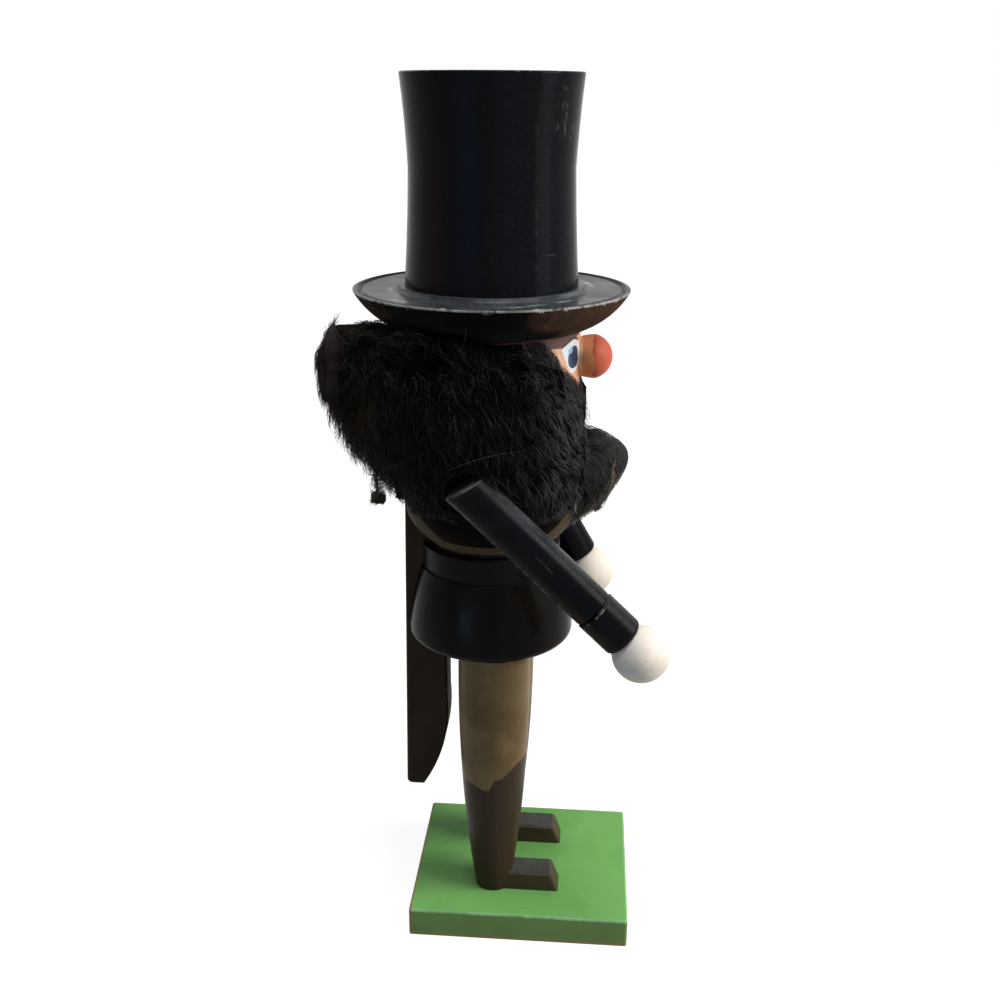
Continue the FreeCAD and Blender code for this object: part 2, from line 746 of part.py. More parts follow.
def hat_brim():
    """The dished brim: a curved underside, a lip with a groove inside it, and a ring that seats the crown."""
    rim_top = "brim_thickness - brim_rim_drop"
    lip = "brim_radius - brim_lip_width"
    ring = "crown_foot_radius + crown_ring_width"
    dish = "brim_thickness - brim_dish_depth"
    points = [
        (HAT_HOLE, "0"),
        ("head_radius", "0"),
        ("brim_radius", f"{rim_top} - brim_edge_height"),
        ("brim_radius", f"{rim_top} - brim_edge_height / 3"),
        (lip, rim_top),
        (f"{lip} - brim_groove_width / 2", f"{rim_top} - brim_groove_depth"),
        (f"{lip} - brim_groove_width", f"{dish} + brim_groove_depth / 4"),
        (f"{ring} + crown_cove_radius / 2", dish),
        (ring, "brim_thickness"),
        (HAT_HOLE, "brim_thickness"),
    ]
    arcs = {1: ("brim_under_radius", OUTWARD), 7: ("crown_cove_radius", INWARD)}
    body = turned("hat_brim", points, arcs)
    place(body, z=HAT_SEAT)
    keep(body, "hat_brim")


def hat_crown():
    """The tall turned crown, narrowest a little above its middle."""
    points = [
        (HAT_HOLE, "0"),
        ("crown_foot_radius", "0"),
        ("crown_waist_radius", "crown_waist_height"),
        ("crown_top_radius", "crown_height"),
        ("0", "crown_height"),
        ("0", "hat_dowel_in_crown + dowel_end_gap"),
        (HAT_HOLE, "hat_dowel_in_crown + dowel_end_gap"),
    ]
    arcs = {1: ("crown_lower_curve", INWARD), 2: ("crown_upper_curve", INWARD)}
    body = turned("hat_crown", points, arcs)
    dress_edges(body, "Fillet", "crown_top_edge", "crown_edge_round", at_height("crown_height"))
    place(body, z=CROWN_SEAT)
    keep(body, "hat_crown")


def dowels():
    """Every dowel that joins two turned pieces."""
    pairs = {"ankle": [], "hip": [], "waist": [], "neck": [], "hand": []}
    half = "dowel_length / 2"
    for side, sign in SIDES:
        leg_x, spread = f"{sign} * leg_spread", f"{sign} * body_dowel_spread"
        foot = "base_floor_wall + dowel_end_gap"
        ankle_length = f"base_thickness - ( {foot} ) + {half}"
        rods = {
            "ankle": dowel(f"ankle_{side}", "dowel_radius", ankle_length, leg_x, "- leg_forward", foot),
            "hip": dowel(f"hip_{side}", "dowel_radius", "dowel_length", leg_x, "- leg_forward", f"{LEG_TOP} - {half}"),
            "waist": dowel(f"waist_{side}", "dowel_radius", "dowel_length", spread, "0", f"{WAIST} - {half}"),
        }
        neck_y = "- neck_dowel_forward"
        rods["neck"] = dowel(f"neck_{side}", "dowel_radius", "dowel_length", spread, neck_y, f"{SEAM} - {half}")
        turn = f"90 + {ARM_ANGLE[side]}"
        y, z = along_arm(side, "( arm_length - hand_dowel_length / 2 )")
        arm_x = f"{sign} * {ARM_OFFSET}"
        rods["hand"] = dowel(f"wrist_{side}", "hand_dowel_radius", "hand_dowel_length", arm_x, y, z, X_AXIS, turn)
        for joint, rod in rods.items():
            pairs[joint].append(rod)
        middle = f"{sign} * ( chest_radius + arm_body_gap / 2 )"
        name = f"shoulder_dowel_{side}"
        height = f"{SEAM} - {SHOULDER_DROP[side]}"
        start = f"{middle} - {half}"
        behind = SHOULDER_BEHIND[side]
        keep(dowel(name, "dowel_radius", "dowel_length", start, behind, height, Y_AXIS, "90"), name)
    for joint, rods in pairs.items():
        dowel_pair(f"{joint}_dowels", rods)
    length = "brim_thickness + hat_dowel_in_head + hat_dowel_in_crown"
    start = f"{HAT_SEAT} - hat_dowel_in_head"
    keep(dowel("hat_dowel", "hat_dowel_radius", length, z=start), "hat_dowel")


def quarter(across, along):
    """The radius of a quarter turn between two reaches, equal to both where they are alike."""
    return f"( ( {across} ) ^ 2 + ( {along} ) ^ 2 ) / ( {across} + {along} )"


def fur_mass(name, levels):
    """A soft body lofted through level outlines of (height, points, arcs)."""
    body = DOCUMENT.addObject("PartDesign::Body", name)
    sketches = []
    for index, (height, points, arcs) in enumerate(levels):
        sketches.append(outline(sketch_on(body, f"{name}_level{index}", "XY_Plane", height), points, arcs))
    loft = body.newObject("PartDesign::AdditiveLoft", f"{name}_loft")
    loft.Profile = sketches[0]
    loft.Sections = sketches[1:]
    loft.Ruled = False
    DOCUMENT.recompute()
    return body


def hair_levels():
    """The hair's level outlines: four quarter turns each, from the collar up under the brim."""
    for level in ("foot", "nape", "ear", "temple", "brow", "top", "crest"):
        back, front, side = (f"hair_{level}_{reach}" for reach in ("back", "front", "side"))
        middle = f"( {back} - {front} ) / 2"
        points = [("0", f"- {front}"), (side, middle), ("0", back), (f"- {side}", middle)]
        turn = (quarter(side, f"( {back} + {front} ) / 2"), OUTWARD)
        yield f"{SEAM} + hair_{level}_height", points, {corner: turn for corner in range(4)}


def beard_levels():
    """The beard's level outlines: flat towards the jaw and chest, round to the front."""
    for level in ("end", "curl", "tip", "chin"):
        back, front, side = (f"beard_{level}_{reach}" for reach in ("back", "front", "side"))
        rear, fore = f"- jaw_reach - {back}", f"- jaw_reach - {front}"
        points = [("0", fore), (side, rear), (f"- {side}", rear)]
        turn = (quarter(side, f"( {front} - {back} )"), OUTWARD)
        yield f"{SEAM} + beard_{level}_height", points, {0: turn, 2: turn}


def brim_room():
    """The space under the brim's curved underside, from which the hair stays clear."""
    low = "- 2 * fur_gap"
    edge = f"brim_thickness - brim_rim_drop - brim_edge_height {low}"
    points = [("0", low), ("head_radius", low), ("brim_radius", edge), ("brim_radius", "2 * brim_thickness")]
    points.append(("0", "2 * brim_thickness"))
    body = turned("hair_brim_room", points, {1: ("brim_under_radius", OUTWARD)})
    place(body, z=HAT_SEAT)
    return body


def hair():
    """The fur round the head: cheeks, sides and back, open at the face and cleared for lever and arms."""
    mass = fur_mass("hair_mass", list(hair_levels()))
    foot = f"{SEAM} + hair_foot_height - 1"
    head = dowel("hair_inside", "chest_radius + fur_gap", f"{HAT_SEAT} - ( {foot} ) + 1", z=foot)
    mouth_top = f"{SEAM} + hair_mouth_height"
    cheek_top = f"{SEAM} + hair_cheek_height"
    eye = f"{SEAM} + hair_eye_height"
    lid = f"{SEAM} + hair_lid_height"
    top = f"{SEAM} + hair_crest_height + 1"
    face = [
        ("- hair_mouth_half_width", foot),
        ("hair_mouth_half_width", foot),
        ("hair_mouth_half_width", mouth_top),
        ("hair_face_half_width", cheek_top),
        ("hair_face_half_width", eye),
        ("hair_lid_half_width", lid),
        ("hair_lid_half_width", top),
        ("- hair_lid_half_width", top),
        ("- hair_lid_half_width", lid),
        ("- hair_face_half_width", eye),
        ("- hair_face_half_width", cheek_top),
        ("- hair_mouth_half_width", mouth_top),
    ]
    opening = padded("hair_face", "XZ_Plane", face, "2 * hair_temple_front")
    place(opening, y="- hair_temple_front - fur_gap")
    pocket = [("0", foot), ("hair_lever_reach", foot), ("hair_lever_reach", SEAM), ("0", SEAM)]
    lever = padded("hair_lever_room", "YZ_Plane", pocket, "lever_thickness + 2 * hair_lever_gap")
    cutters = [head, opening, lever, brim_room()]
    for side, sign in SIDES:
        y, z = along_arm(side, "( - arm_end_low - fur_arm_gap )")
        x = f"{sign} * {ARM_OFFSET}"
        radius = "arm_radius + cuff_swell + fur_arm_gap"
        turn = f"90 + {ARM_ANGLE[side]}"
        cutters.append(dowel(f"hair_arm_{side}", radius, "arm_length", x, y, z, X_AXIS, turn))
    away = DOCUMENT.addObject("Part::MultiFuse", "hair_cutters")
    away.Shapes = cutters
    fur = DOCUMENT.addObject("Part::Cut", "hair")
    fur.Base = mass
    fur.Tool = away
    DOCUMENT.recompute()
    keep(fur, "hair")


def beard():
    """The tuft glued to the front of the jaw, clear of the chest as the jaw drops."""
    keep(fur_mass("beard", list(beard_levels())), "beard")


def build():
    base_plinth()
    for side, sign in SIDES:
        shoe(side, sign)
        leg(side, sign)
        chest_cheek(side, sign)
        arm(side, sign)
        hand(side, sign)
    skirt_block()
    chest_core()
    head_block()
    jaw_lever()
    pivot_pin()
    nose()
    hat_brim()
    hat_crown()
    dowels()
    hair()
    beard()
    DOCUMENT.recompute()


def write_parts():
    """Checks every object and writes each sub-part to its own file."""
    for item in DOCUMENT.Objects:
        if "Invalid" in item.State or "Error" in item.State:
            raise ValueError(f"{item.Label} failed: {item.State}")
    os.makedirs("parts", exist_ok=True)
    for subpart in SUBPARTS:
        shape = subpart.Shape
        expected = 2 if subpart.Label.endswith("_dowels") else 1
        if shape.isNull() or not shape.isValid() or len(shape.Solids) != expected:
            raise ValueError(f"{subpart.Label} is not sound")
        shape.exportStep(f"parts/{subpart.Label}.step")
        print(f"{subpart.Label}: {shape.Volume / 1000:.1f} cm3")


build()
write_parts()
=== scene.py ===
import logging
import math
import random
from collections.abc import Callable, Iterable, Iterator
from dataclasses import dataclass, field
from enum import Enum

import bmesh
import bpy
from mathutils import Matrix, Vector, noise
from mathutils.bvhtree import BVHTree


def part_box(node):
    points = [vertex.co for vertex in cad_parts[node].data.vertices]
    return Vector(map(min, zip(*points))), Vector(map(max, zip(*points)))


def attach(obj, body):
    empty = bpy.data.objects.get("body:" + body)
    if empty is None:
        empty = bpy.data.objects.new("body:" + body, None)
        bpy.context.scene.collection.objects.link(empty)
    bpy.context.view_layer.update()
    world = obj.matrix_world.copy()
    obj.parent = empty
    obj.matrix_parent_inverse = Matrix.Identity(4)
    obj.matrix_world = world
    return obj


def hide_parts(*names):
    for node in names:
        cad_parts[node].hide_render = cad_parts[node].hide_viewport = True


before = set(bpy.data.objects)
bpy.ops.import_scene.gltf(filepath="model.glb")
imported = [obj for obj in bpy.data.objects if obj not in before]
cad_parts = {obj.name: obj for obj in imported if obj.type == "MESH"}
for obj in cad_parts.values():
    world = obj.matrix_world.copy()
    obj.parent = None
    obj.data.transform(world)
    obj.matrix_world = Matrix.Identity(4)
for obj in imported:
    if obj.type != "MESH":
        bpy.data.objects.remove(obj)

log = logging.getLogger("nutcracker")

MM = 0.001
SMOOTH = 180.0
LEAST_AREA = 1e-12
Z_AXIS = Vector((0, 0, 1))
FIGURE = "figure"
LEVER = "lever"

Colour = tuple[float, float, float, float]
Triple = tuple[float, float, float]
Pair = tuple[float, float]
Curve = tuple[Pair, ...]
Socket = bpy.types.NodeSocket


def srgb(red: int, green: int, blue: int) -> Colour:
    """A colour given in the 0 to 255 steps of a screen.

    Args:
        red: Its red.
        green: Its green.
        blue: Its blue.

    Returns:
        The colour in Blender's linear values, opaque.
    """
    steps = (step / 255 for step in (red, green, blue))
    linear = (s / 12.92 if s <= 0.04045 else ((s + 0.055) / 1.055) ** 2.4 for s in steps)
    return (*linear, 1.0)


def mm(*values: float) -> Vector:
    """A point given in millimetres."""
    return Vector(values) * MM


class Graph:
    """A material under construction, with short calls for the nodes that this figure's finishes use."""

    def __init__(self, name: str) -> None:
        """Starts an empty material that ends in one Principled shader.

        Args:
            name: The material's name.
        """
        self.material = bpy.data.materials.new(name)
        self.material.use_nodes = True
        self.nodes = self.material.node_tree.nodes
        self.links = self.material.node_tree.links
        self.nodes.clear()
        self.shader = self.nodes.new("ShaderNodeBsdfPrincipled")
        output = self.nodes.new("ShaderNodeOutputMaterial")
        self.links.new(self.shader.outputs[0], output.inputs[0])
        self.place = self.nodes.new("ShaderNodeTexCoord").outputs["Object"]

    def feed(self, socket: Socket, value: object) -> None:
        """Links a socket to another, or sets its number or colour.

        Args:
            socket: The input to feed.
            value: Another node's output, or a plain number, colour or vector.
        """
        if isinstance(value, bpy.types.NodeSocket):
            self.links.new(value, socket)
        else:
            socket.default_value = value

    def math(self, operation: str, first: object, second: object = 0.0) -> Socket:
        """A Math node's result.

        Args:
            operation: Blender's name for the operation.
            first: The first number or socket.
            second: The second one, where the operation has it.

        Returns:
            The result's socket.
        """
        node = self.nodes.new("ShaderNodeMath")
        node.operation = operation
        self.feed(node.inputs[0], first)
        self.feed(node.inputs[1], second)
        return node.outputs[0]

    def total(self, *values: Socket) -> Socket:
        """The sum of several masks, held at one.

        Args:
            *values: The masks.

        Returns:
            The mask of every place that one of them covers.
        """
        result = values[0]
        for value in values[1:]:
            result = self.math("ADD", result, value)
        return self.math("MINIMUM", result, 1.0)

    def shared(self, *values: Socket) -> Socket:
        """The product of several masks.

        Args:
            *values: The masks.

        Returns:
            The mask of the places that all of them cover.
        """
        result = values[0]
        for value in values[1:]:
            result = self.math("MULTIPLY", result, value)
        return result

    def axis(self, letter: str, where: Socket | None = None) -> Socket:
        """One coordinate of the surface point.

        Args:
            letter: X, Y or Z.
            where: Other coordinates to take it from.

        Returns:
            The coordinate, in metres.
        """
        node = self.nodes.new("ShaderNodeSeparateXYZ")
        self.feed(node.inputs[0], where or self.place)
        return node.outputs["XYZ".index(letter)]

    def facing_up(self, low: float, high: float) -> Socket:
        """A mask of the surfaces that look upwards, where dust settles."""
        node = self.nodes.new("ShaderNodeTexCoord")
        return self.fade(self.axis("Z", node.outputs["Normal"]), low, high)

    def stretched(self, scale: Triple, turn: Triple = (0, 0, 0)) -> Socket:
        """The surface point turned and then stretched, for grain and brush strokes.

        Args:
            scale: How much closer the pattern repeats along each turned axis.
            turn: Rotation in radians that lays the pattern along the piece.

        Returns:
            The changed coordinates.
        """
        turned = self.nodes.new("ShaderNodeMapping")
        turned.inputs["Rotation"].default_value = turn
        self.feed(turned.inputs["Vector"], self.place)
        node = self.nodes.new("ShaderNodeMapping")
        node.inputs["Scale"].default_value = scale
        self.feed(node.inputs["Vector"], turned.outputs[0])
        return node.outputs[0]

    def noise(self, scale: float, detail: float = 3.0, rough: float = 0.5, where: Socket | None = None) -> Socket:
        """Soft cloudy noise.

        Args:
            scale: How close it repeats, per metre.
            detail: How many finer layers it has.
            rough: How strong the finer layers are.
            where: Other coordinates than the surface point.

        Returns:
            The noise, from 0 to 1.
        """
        node = self.nodes.new("ShaderNodeTexNoise")
        self.feed(node.inputs["Vector"], where or self.place)
        node.inputs["Scale"].default_value = scale
        node.inputs["Detail"].default_value = detail
        node.inputs["Roughness"].default_value = rough
        return node.outputs[0]

    def cells(self, scale: float) -> Socket:
        """Cells round many scattered points, which make specks.

        Args:
            scale: How close the points lie, per metre.

        Returns:
            The distance to the nearest point, as a share of a cell.
        """
        node = self.nodes.new("ShaderNodeTexVoronoi")
        self.feed(node.inputs["Vector"], self.place)
        node.inputs["Scale"].default_value = scale
        return node.outputs["Distance"]

    def fade(self, value: Socket, low: float, high: float, first: float = 0.0, last: float = 1.0) -> Socket:
        """Runs smoothly from one result to another as a value changes.

        Args:
            value: What it follows.
            low: Where it starts. This may be the greater of the two.
            high: Where it ends.
            first: The result at low.
            last: The result at high.

        Returns:
            The result's socket.
        """
        node = self.nodes.new("ShaderNodeMapRange")
        node.interpolation_type = "SMOOTHSTEP"
        self.feed(node.inputs["Value"], value)
        limits = {"From Min": low, "From Max": high, "To Min": first, "To Max": last}
        if low > high:
            limits = {"From Min": high, "From Max": low, "To Min": last, "To Max": first}
        for name, limit in limits.items():
            node.inputs[name].default_value = limit
        return node.outputs[0]

    def band(self, value: Socket, centre: float, half: float, soft: float) -> Socket:
        """A mask of the values near a centre.

        Args:
            value: What it follows.
            centre: The middle of the band.
            half: How far the full mask reaches to each side.
            soft: The width over which it fades out beyond.

        Returns:
            The mask.
        """
        away = self.math("ABSOLUTE", self.math("SUBTRACT", value, centre))
        return self.fade(away, half + soft, half)

    def level(self, span: Pair) -> Socket:
        """A mask of everything between two heights in millimetres."""
        middle, half = sum(span) / 2, (span[1] - span[0]) / 2
        return self.band(self.axis("Z"), middle * MM, half * MM, 0.15 * MM)

    def radius(self) -> Socket:
        """The surface point's distance from the upright axis."""
        across, along = (self.math("POWER", self.axis(letter), 2.0) for letter in "XY")
        return self.math("SQRT", self.math("ADD", across, along))

    def turn(self) -> Socket:
        """The surface point's angle about the upright axis.

        Returns:
            The angle from 0 to 360 degrees, counted from the figure's left through its back.
        """
        node = self.nodes.new("ShaderNodeMath")
        node.operation = "ARCTAN2"
        self.feed(node.inputs[0], self.axis("Y"))
        self.feed(node.inputs[1], self.axis("X"))
        return self.math("FLOORED_MODULO", self.math("DEGREES", node.outputs[0]), 360.0)

    def along(self, origin: Vector, direction: Vector) -> Socket:
        """How far the surface point lies along a direction.

        Args:
            origin: Where it is counted from.
            direction: The direction, of length 1.

        Returns:
            The way in metres.
        """
        moved = self.nodes.new("ShaderNodeVectorMath")
        moved.operation = "SUBTRACT"
        self.feed(moved.inputs[0], self.place)
        moved.inputs[1].default_value = origin
        node = self.nodes.new("ShaderNodeVectorMath")
        node.operation = "DOT_PRODUCT"
        self.feed(node.inputs[0], moved.outputs[0])
        node.inputs[1].default_value = direction
        return node.outputs["Value"]

    def mix(self, amount: object, first: object, second: object) -> Socket:
        """A colour between two others.

        Args:
            amount: The share of the second colour.
            first: The first colour.
            second: The second colour.

        Returns:
            The colour's socket.
        """
        node = self.nodes.new("ShaderNodeMix")
        node.data_type = "RGBA"
        self.feed(node.inputs["Factor"], amount)
        self.feed(node.inputs[6], first)
        self.feed(node.inputs[7], second)
        return node.outputs[2]

    def bump(self, height: Socket, distance: float, below: Socket | None = None) -> Socket:
        """A fine relief.

        Args:
            height: Its form, from 0 to 1.
            distance: Its height in metres.
            below: Another relief that it lies on.

        Returns:
            The normal that shows it.
        """
        node = self.nodes.new("ShaderNodeBump")
        node.inputs["Distance"].default_value = distance
        self.feed(node.inputs["Height"], height)
        if below is not None:
            self.feed(node.inputs["Normal"], below)
        return node.outputs[0]

    def surface(self, colour: object, roughness: object, normal: Socket | None = None, **plain: object) -> None:
        """Feeds the shader.

        Args:
            colour: The base colour.
            roughness: How dull the surface is.
            normal: Its relief.
            **plain: Plain values for other sockets, with lines for the spaces in their names.
        """
        self.feed(self.shader.inputs["Base Color"], colour)
        self.feed(self.shader.inputs["Roughness"], roughness)
        if normal is not None:
            self.feed(self.shader.inputs["Normal"], normal)
        for name, value in plain.items():
            self.feed(self.shader.inputs[name.replace("_", " ")], value)


Mask = Callable[[Graph], Socket]


@dataclass(frozen=True)
class Zone:
    """Another colour painted over part of a piece.

    Attributes:
        mask: Where it is.
        colour: The colour.
        dull: How much rougher the piece is there.
    """

    mask: Mask
    colour: Colour
    dull: float = 0.0


class Lay(Enum):
    """The way that brush strokes or wood grain run on a piece."""

    ROUND = (0.12, 0.12, 1.0)
    UPRIGHT = (1.0, 1.0, 0.08)
    FORWARD = (1.0, 0.08, 1.0)


SPECK = srgb(150, 146, 140)
DUST = srgb(136, 142, 146)


@dataclass(frozen=True)
class Paint:
    """Brushed paint on wood, with clouds, streaks, dust, chips and worn edges.

    Attributes:
        name: The material's name.
        colour: The coat where it is full.
        cloud: The colour that it drifts to in large soft patches.
        bare: What shows in chips and on worn edges.
        gloss: Roughness of the shiniest and the dullest spots.
        reflect: The shader's specular level.
        lay: The way that strokes and grain run.
        ridge: Height of the brush ridges in millimetres.
        specks: Share of pale specks.
        chips: Share of small chips.
        dust: How grey the dust on upward faces makes the coat.
        streaks: Two tints that run through the coat along its strokes.
        turn: Rotation that lays the strokes along a slanted piece.
    """

    name: str
    colour: Colour
    cloud: Colour
    bare: Colour
    gloss: Pair = (0.22, 0.36)
    reflect: float = 0.3
    lay: Lay = Lay.UPRIGHT
    ridge: float = 0.02
    specks: float = 0.2
    chips: float = 0.1
    dust: float = 0.0
    streaks: tuple[Colour, Colour] | None = None
    turn: Triple = (0, 0, 0)

    def brush_on(self, zones: Iterable[Zone] = (), worn: Mask | None = None) -> bpy.types.Material:
        """Makes the material.

        Args:
            zones: Other colours on the same piece, each over the ones before.
            worn: A mask of the edges that are rubbed through.

        Returns:
            The finished material.
        """
        graph = Graph(self.name)
        colour = self._coat(graph)
        dull = 0.0
        for zone in zones:
            tone = graph.mix(graph.fade(graph.noise(52, 4), 0.35, 0.7), zone.colour, self._drift(zone.colour))
            where = zone.mask(graph)
            colour = graph.mix(where, colour, tone)
            if zone.dull:
                dull = graph.math("ADD", graph.math("MULTIPLY", where, zone.dull), dull)
        strokes = graph.noise(420, 4, 0.6, graph.stretched(self.lay.value, self.turn))
        colour = graph.mix(graph.fade(strokes, 0.45, 0.8, 0, 0.22), colour, self._drift(self.cloud))
        chip_line = 0.8 - 0.12 * self.chips
        chips = graph.fade(graph.noise(300, 5, 0.62), chip_line, chip_line + 0.015)
        if worn is not None:
            chips = graph.total(chips, worn(graph))
        colour = graph.mix(chips, colour, self.bare)
        colour = graph.mix(self._specks(graph), colour, SPECK)
        rough = graph.fade(graph.noise(60, 5), 0.3, 0.75, *self.gloss)
        rough = graph.math("ADD", rough, graph.math("MULTIPLY", chips, 0.35))
        rough = graph.math("ADD", rough, graph.fade(strokes, 0.4, 0.8, 0, 0.06))
        rough = graph.math("ADD", rough, dull)
        if self.dust:
            settled = self._settled(graph)
            colour = graph.mix(settled, colour, DUST)
            rough = graph.math("ADD", rough, graph.math("MULTIPLY", settled, 0.3))
        relief = graph.bump(strokes, self.ridge * MM)
        relief = graph.bump(graph.noise(26, 2), 0.2 * MM, relief)
        relief = graph.bump(graph.math("SUBTRACT", 1.0, chips), 0.05 * MM, relief)
        graph.surface(colour, rough, relief, Specular_IOR_Level=self.reflect)
        return graph.material

    def _coat(self, graph: Graph) -> Socket:
        """The coat's own colour.

        Args:
            graph: The material under construction.

        Returns:
            The colour with its clouds and its streaks.
        """
        colour = graph.mix(graph.fade(graph.noise(38, 4), 0.42, 0.68), self.colour, self.cloud)
        if self.streaks is not None:
            where = graph.stretched((1.0, 1.0, 0.05), self.turn)
            for scale, tint in zip((62, 47), self.streaks):
                colour = graph.mix(graph.fade(graph.noise(scale, 2, 0.5, where), 0.5, 0.66, 0, 0.75), colour, tint)
        return colour

    def _specks(self, graph: Graph) -> Socket:
        """A mask of fine specks that gather in patches."""
        return graph.shared(graph.fade(graph.cells(900), 0.17, 0.07),
                            graph.fade(graph.noise(70, 3), 0.62 - 0.12 * self.specks, 0.74),
                            graph.fade(graph.noise(150), 0.4, 0.8, 0, 0.6))

    def _settled(self, graph: Graph) -> Socket:
        """The dust on upward faces.

        Args:
            graph: The material under construction.

        Returns:
            The mask of its grains.
        """
        grains = graph.fade(graph.noise(1500, 2, 0.6), 0.35, 0.65, 0.35, 1.0)
        patches = graph.fade(graph.noise(90, 4), 0.3, 0.6, 0.5, 1.0)
        return graph.math("MULTIPLY", graph.shared(graph.facing_up(0.5, 0.95), grains, patches), self.dust)

    @staticmethod
    def _drift(colour: Colour) -> Colour:
        """A slightly dustier neighbour of a colour."""
        return tuple(0.86 * part + 0.003 for part in colour[:3]) + (1.0,)


@dataclass(frozen=True)
class BareWood:
    """Pale turned wood with fine grain lines and a few darker rings.

    Attributes:
        name: The material's name.
        pale: The wood between the grain lines.
        line: The grain lines.
        strength: How clearly the grain shows.
        pore: The pores.
        turn: Rotation that lays the grain along the piece.
    """

    name: str = "turned_wood"
    pale: Colour = srgb(232, 217, 196)
    line: Colour = srgb(196, 168, 136)
    strength: float = 1.0
    pore: Colour = srgb(150, 118, 86)
    turn: Triple = (0, 0, 0)

    def plain(self) -> bpy.types.Material:
        """Makes the material.

        Returns:
            The finished material.
        """
        graph = Graph(self.name)
        where = graph.stretched((1.0, 1.0, 0.07), self.turn)
        grain = graph.noise(640, 5, 0.6, where)
        rings = graph.noise(120, 3, 0.5, where)
        colour = graph.mix(graph.fade(grain, 0.42, 0.75, 0, self.strength), self.pale, self.line)
        colour = graph.mix(graph.fade(rings, 0.52, 0.7, 0, 0.4 * self.strength), colour, self.line)
        pores = graph.fade(graph.noise(1500, 2, 0.5, where), 0.66, 0.74, 0, 0.5 * self.strength)
        colour = graph.mix(pores, colour, self.pore)
        relief = graph.bump(grain, 0.03 * MM)
        relief = graph.bump(graph.noise(900, 3), 0.05 * MM, relief)
        graph.surface(colour, graph.fade(rings, 0.3, 0.7, 0.5, 0.66), relief, Specular_IOR_Level=0.2)
        return graph.material


@dataclass(frozen=True)
class Fur:
    """Hair of one tone, mottled from tuft to tuft, browner behind and paler at the cheeks.

    Attributes:
        name: The material's name.
        dark: The hair's main colour.
        pale: The colour of its paler threads and of the cheeks.
        brown: The colour that it turns to behind.
        roughness: How dull it is.
        reflect: The shader's specular level.
    """

    name: str
    dark: Colour
    pale: Colour
    brown: Colour
    roughness: float = 0.45
    reflect: float = 0.12

    def dye(self) -> bpy.types.Material:
        """Makes the material.

        Returns:
            The finished material.
        """
        graph = Graph(self.name)
        tufts = graph.fade(graph.noise(230, 3, 0.6), 0.35, 0.72)
        threads = graph.fade(graph.noise(1700, 2, 0.5), 0.45, 0.7)
        colour = graph.mix(graph.shared(tufts, threads), self.dark, self.pale)
        cheek = graph.fade(graph.axis("Y"), -12 * MM, -34 * MM, 0, 0.55)
        colour = graph.mix(cheek, colour, self.pale)
        behind = graph.shared(graph.fade(graph.axis("Y"), 18 * MM, 40 * MM, 0, 0.8),
                              graph.fade(graph.noise(60, 3), 0.3, 0.6))
        colour = graph.mix(behind, colour, self.brown)
        relief = graph.bump(graph.noise(1400, 3, 0.6, graph.stretched((1, 1, 0.15))), 0.4 * MM)
        graph.surface(colour, self.roughness, relief, Specular_IOR_Level=self.reflect)
        return graph.material


BLACK = srgb(7, 9, 13)
PRIMER = srgb(172, 168, 160)
WOOD = srgb(171, 136, 96)
LACQUER_SHINE = 0.04

HAT_LACQUER = Paint("hat_lacquer", BLACK, srgb(11, 14, 19), PRIMER, (0.14, 0.26), LACQUER_SHINE, Lay.UPRIGHT, 0.012,
                    1.8, 0.1, 0.24, (srgb(17, 15, 15), srgb(10, 15, 24)))
COAT_LACQUER = Paint("coat_lacquer", srgb(12, 9, 6), srgb(20, 16, 12), WOOD, (0.14, 0.28), 0.035, Lay.ROUND,
                     0.02, 0.6, 0.0, 0.08, (srgb(26, 20, 15), srgb(12, 12, 10)))
CHEST_PAINT = Paint("chest_paint", srgb(9, 7, 3), srgb(15, 12, 7), WOOD, (0.45, 0.6), 0.01, Lay.ROUND, 0.02, 0.1, 0.0)
LEVER_PAINT = Paint("lever_paint", srgb(38, 30, 21), srgb(48, 39, 28), WOOD, (0.45, 0.6), 0.06, Lay.UPRIGHT, 0.03,
                    0.2, 0.0)
TROUSER_PAINT = Paint("trouser_paint", srgb(130, 108, 75), srgb(106, 87, 58), PRIMER, (0.34, 0.46), 0.06,
                      Lay.UPRIGHT, 0.03, 0.1, 0.1)
BOOT_PAINT = Paint("boot_paint", srgb(76, 64, 48), srgb(82, 70, 54), WOOD, (0.28, 0.42), 0.03, Lay.FORWARD, 0.03,
                   0.2, 0.0, 0.25)
GREEN_PAINT = Paint("green_paint", srgb(120, 182, 99), srgb(110, 170, 88), WOOD, (0.4, 0.55), 0.2, Lay.FORWARD,
                    0.03, 0.1, 0.1)
SKIN_PAINT = Paint("skin_paint", srgb(232, 184, 152), srgb(214, 150, 112), WOOD, (0.38, 0.5), 0.3, Lay.ROUND,
                   0.02, 0.0, 0.0)
NOSE_PAINT = Paint("nose_paint", srgb(242, 164, 112), srgb(232, 148, 100), WOOD, (0.42, 0.55), 0.15, Lay.ROUND,
                   0.02, 0.0, 0.1)
VEST = srgb(86, 73, 53)

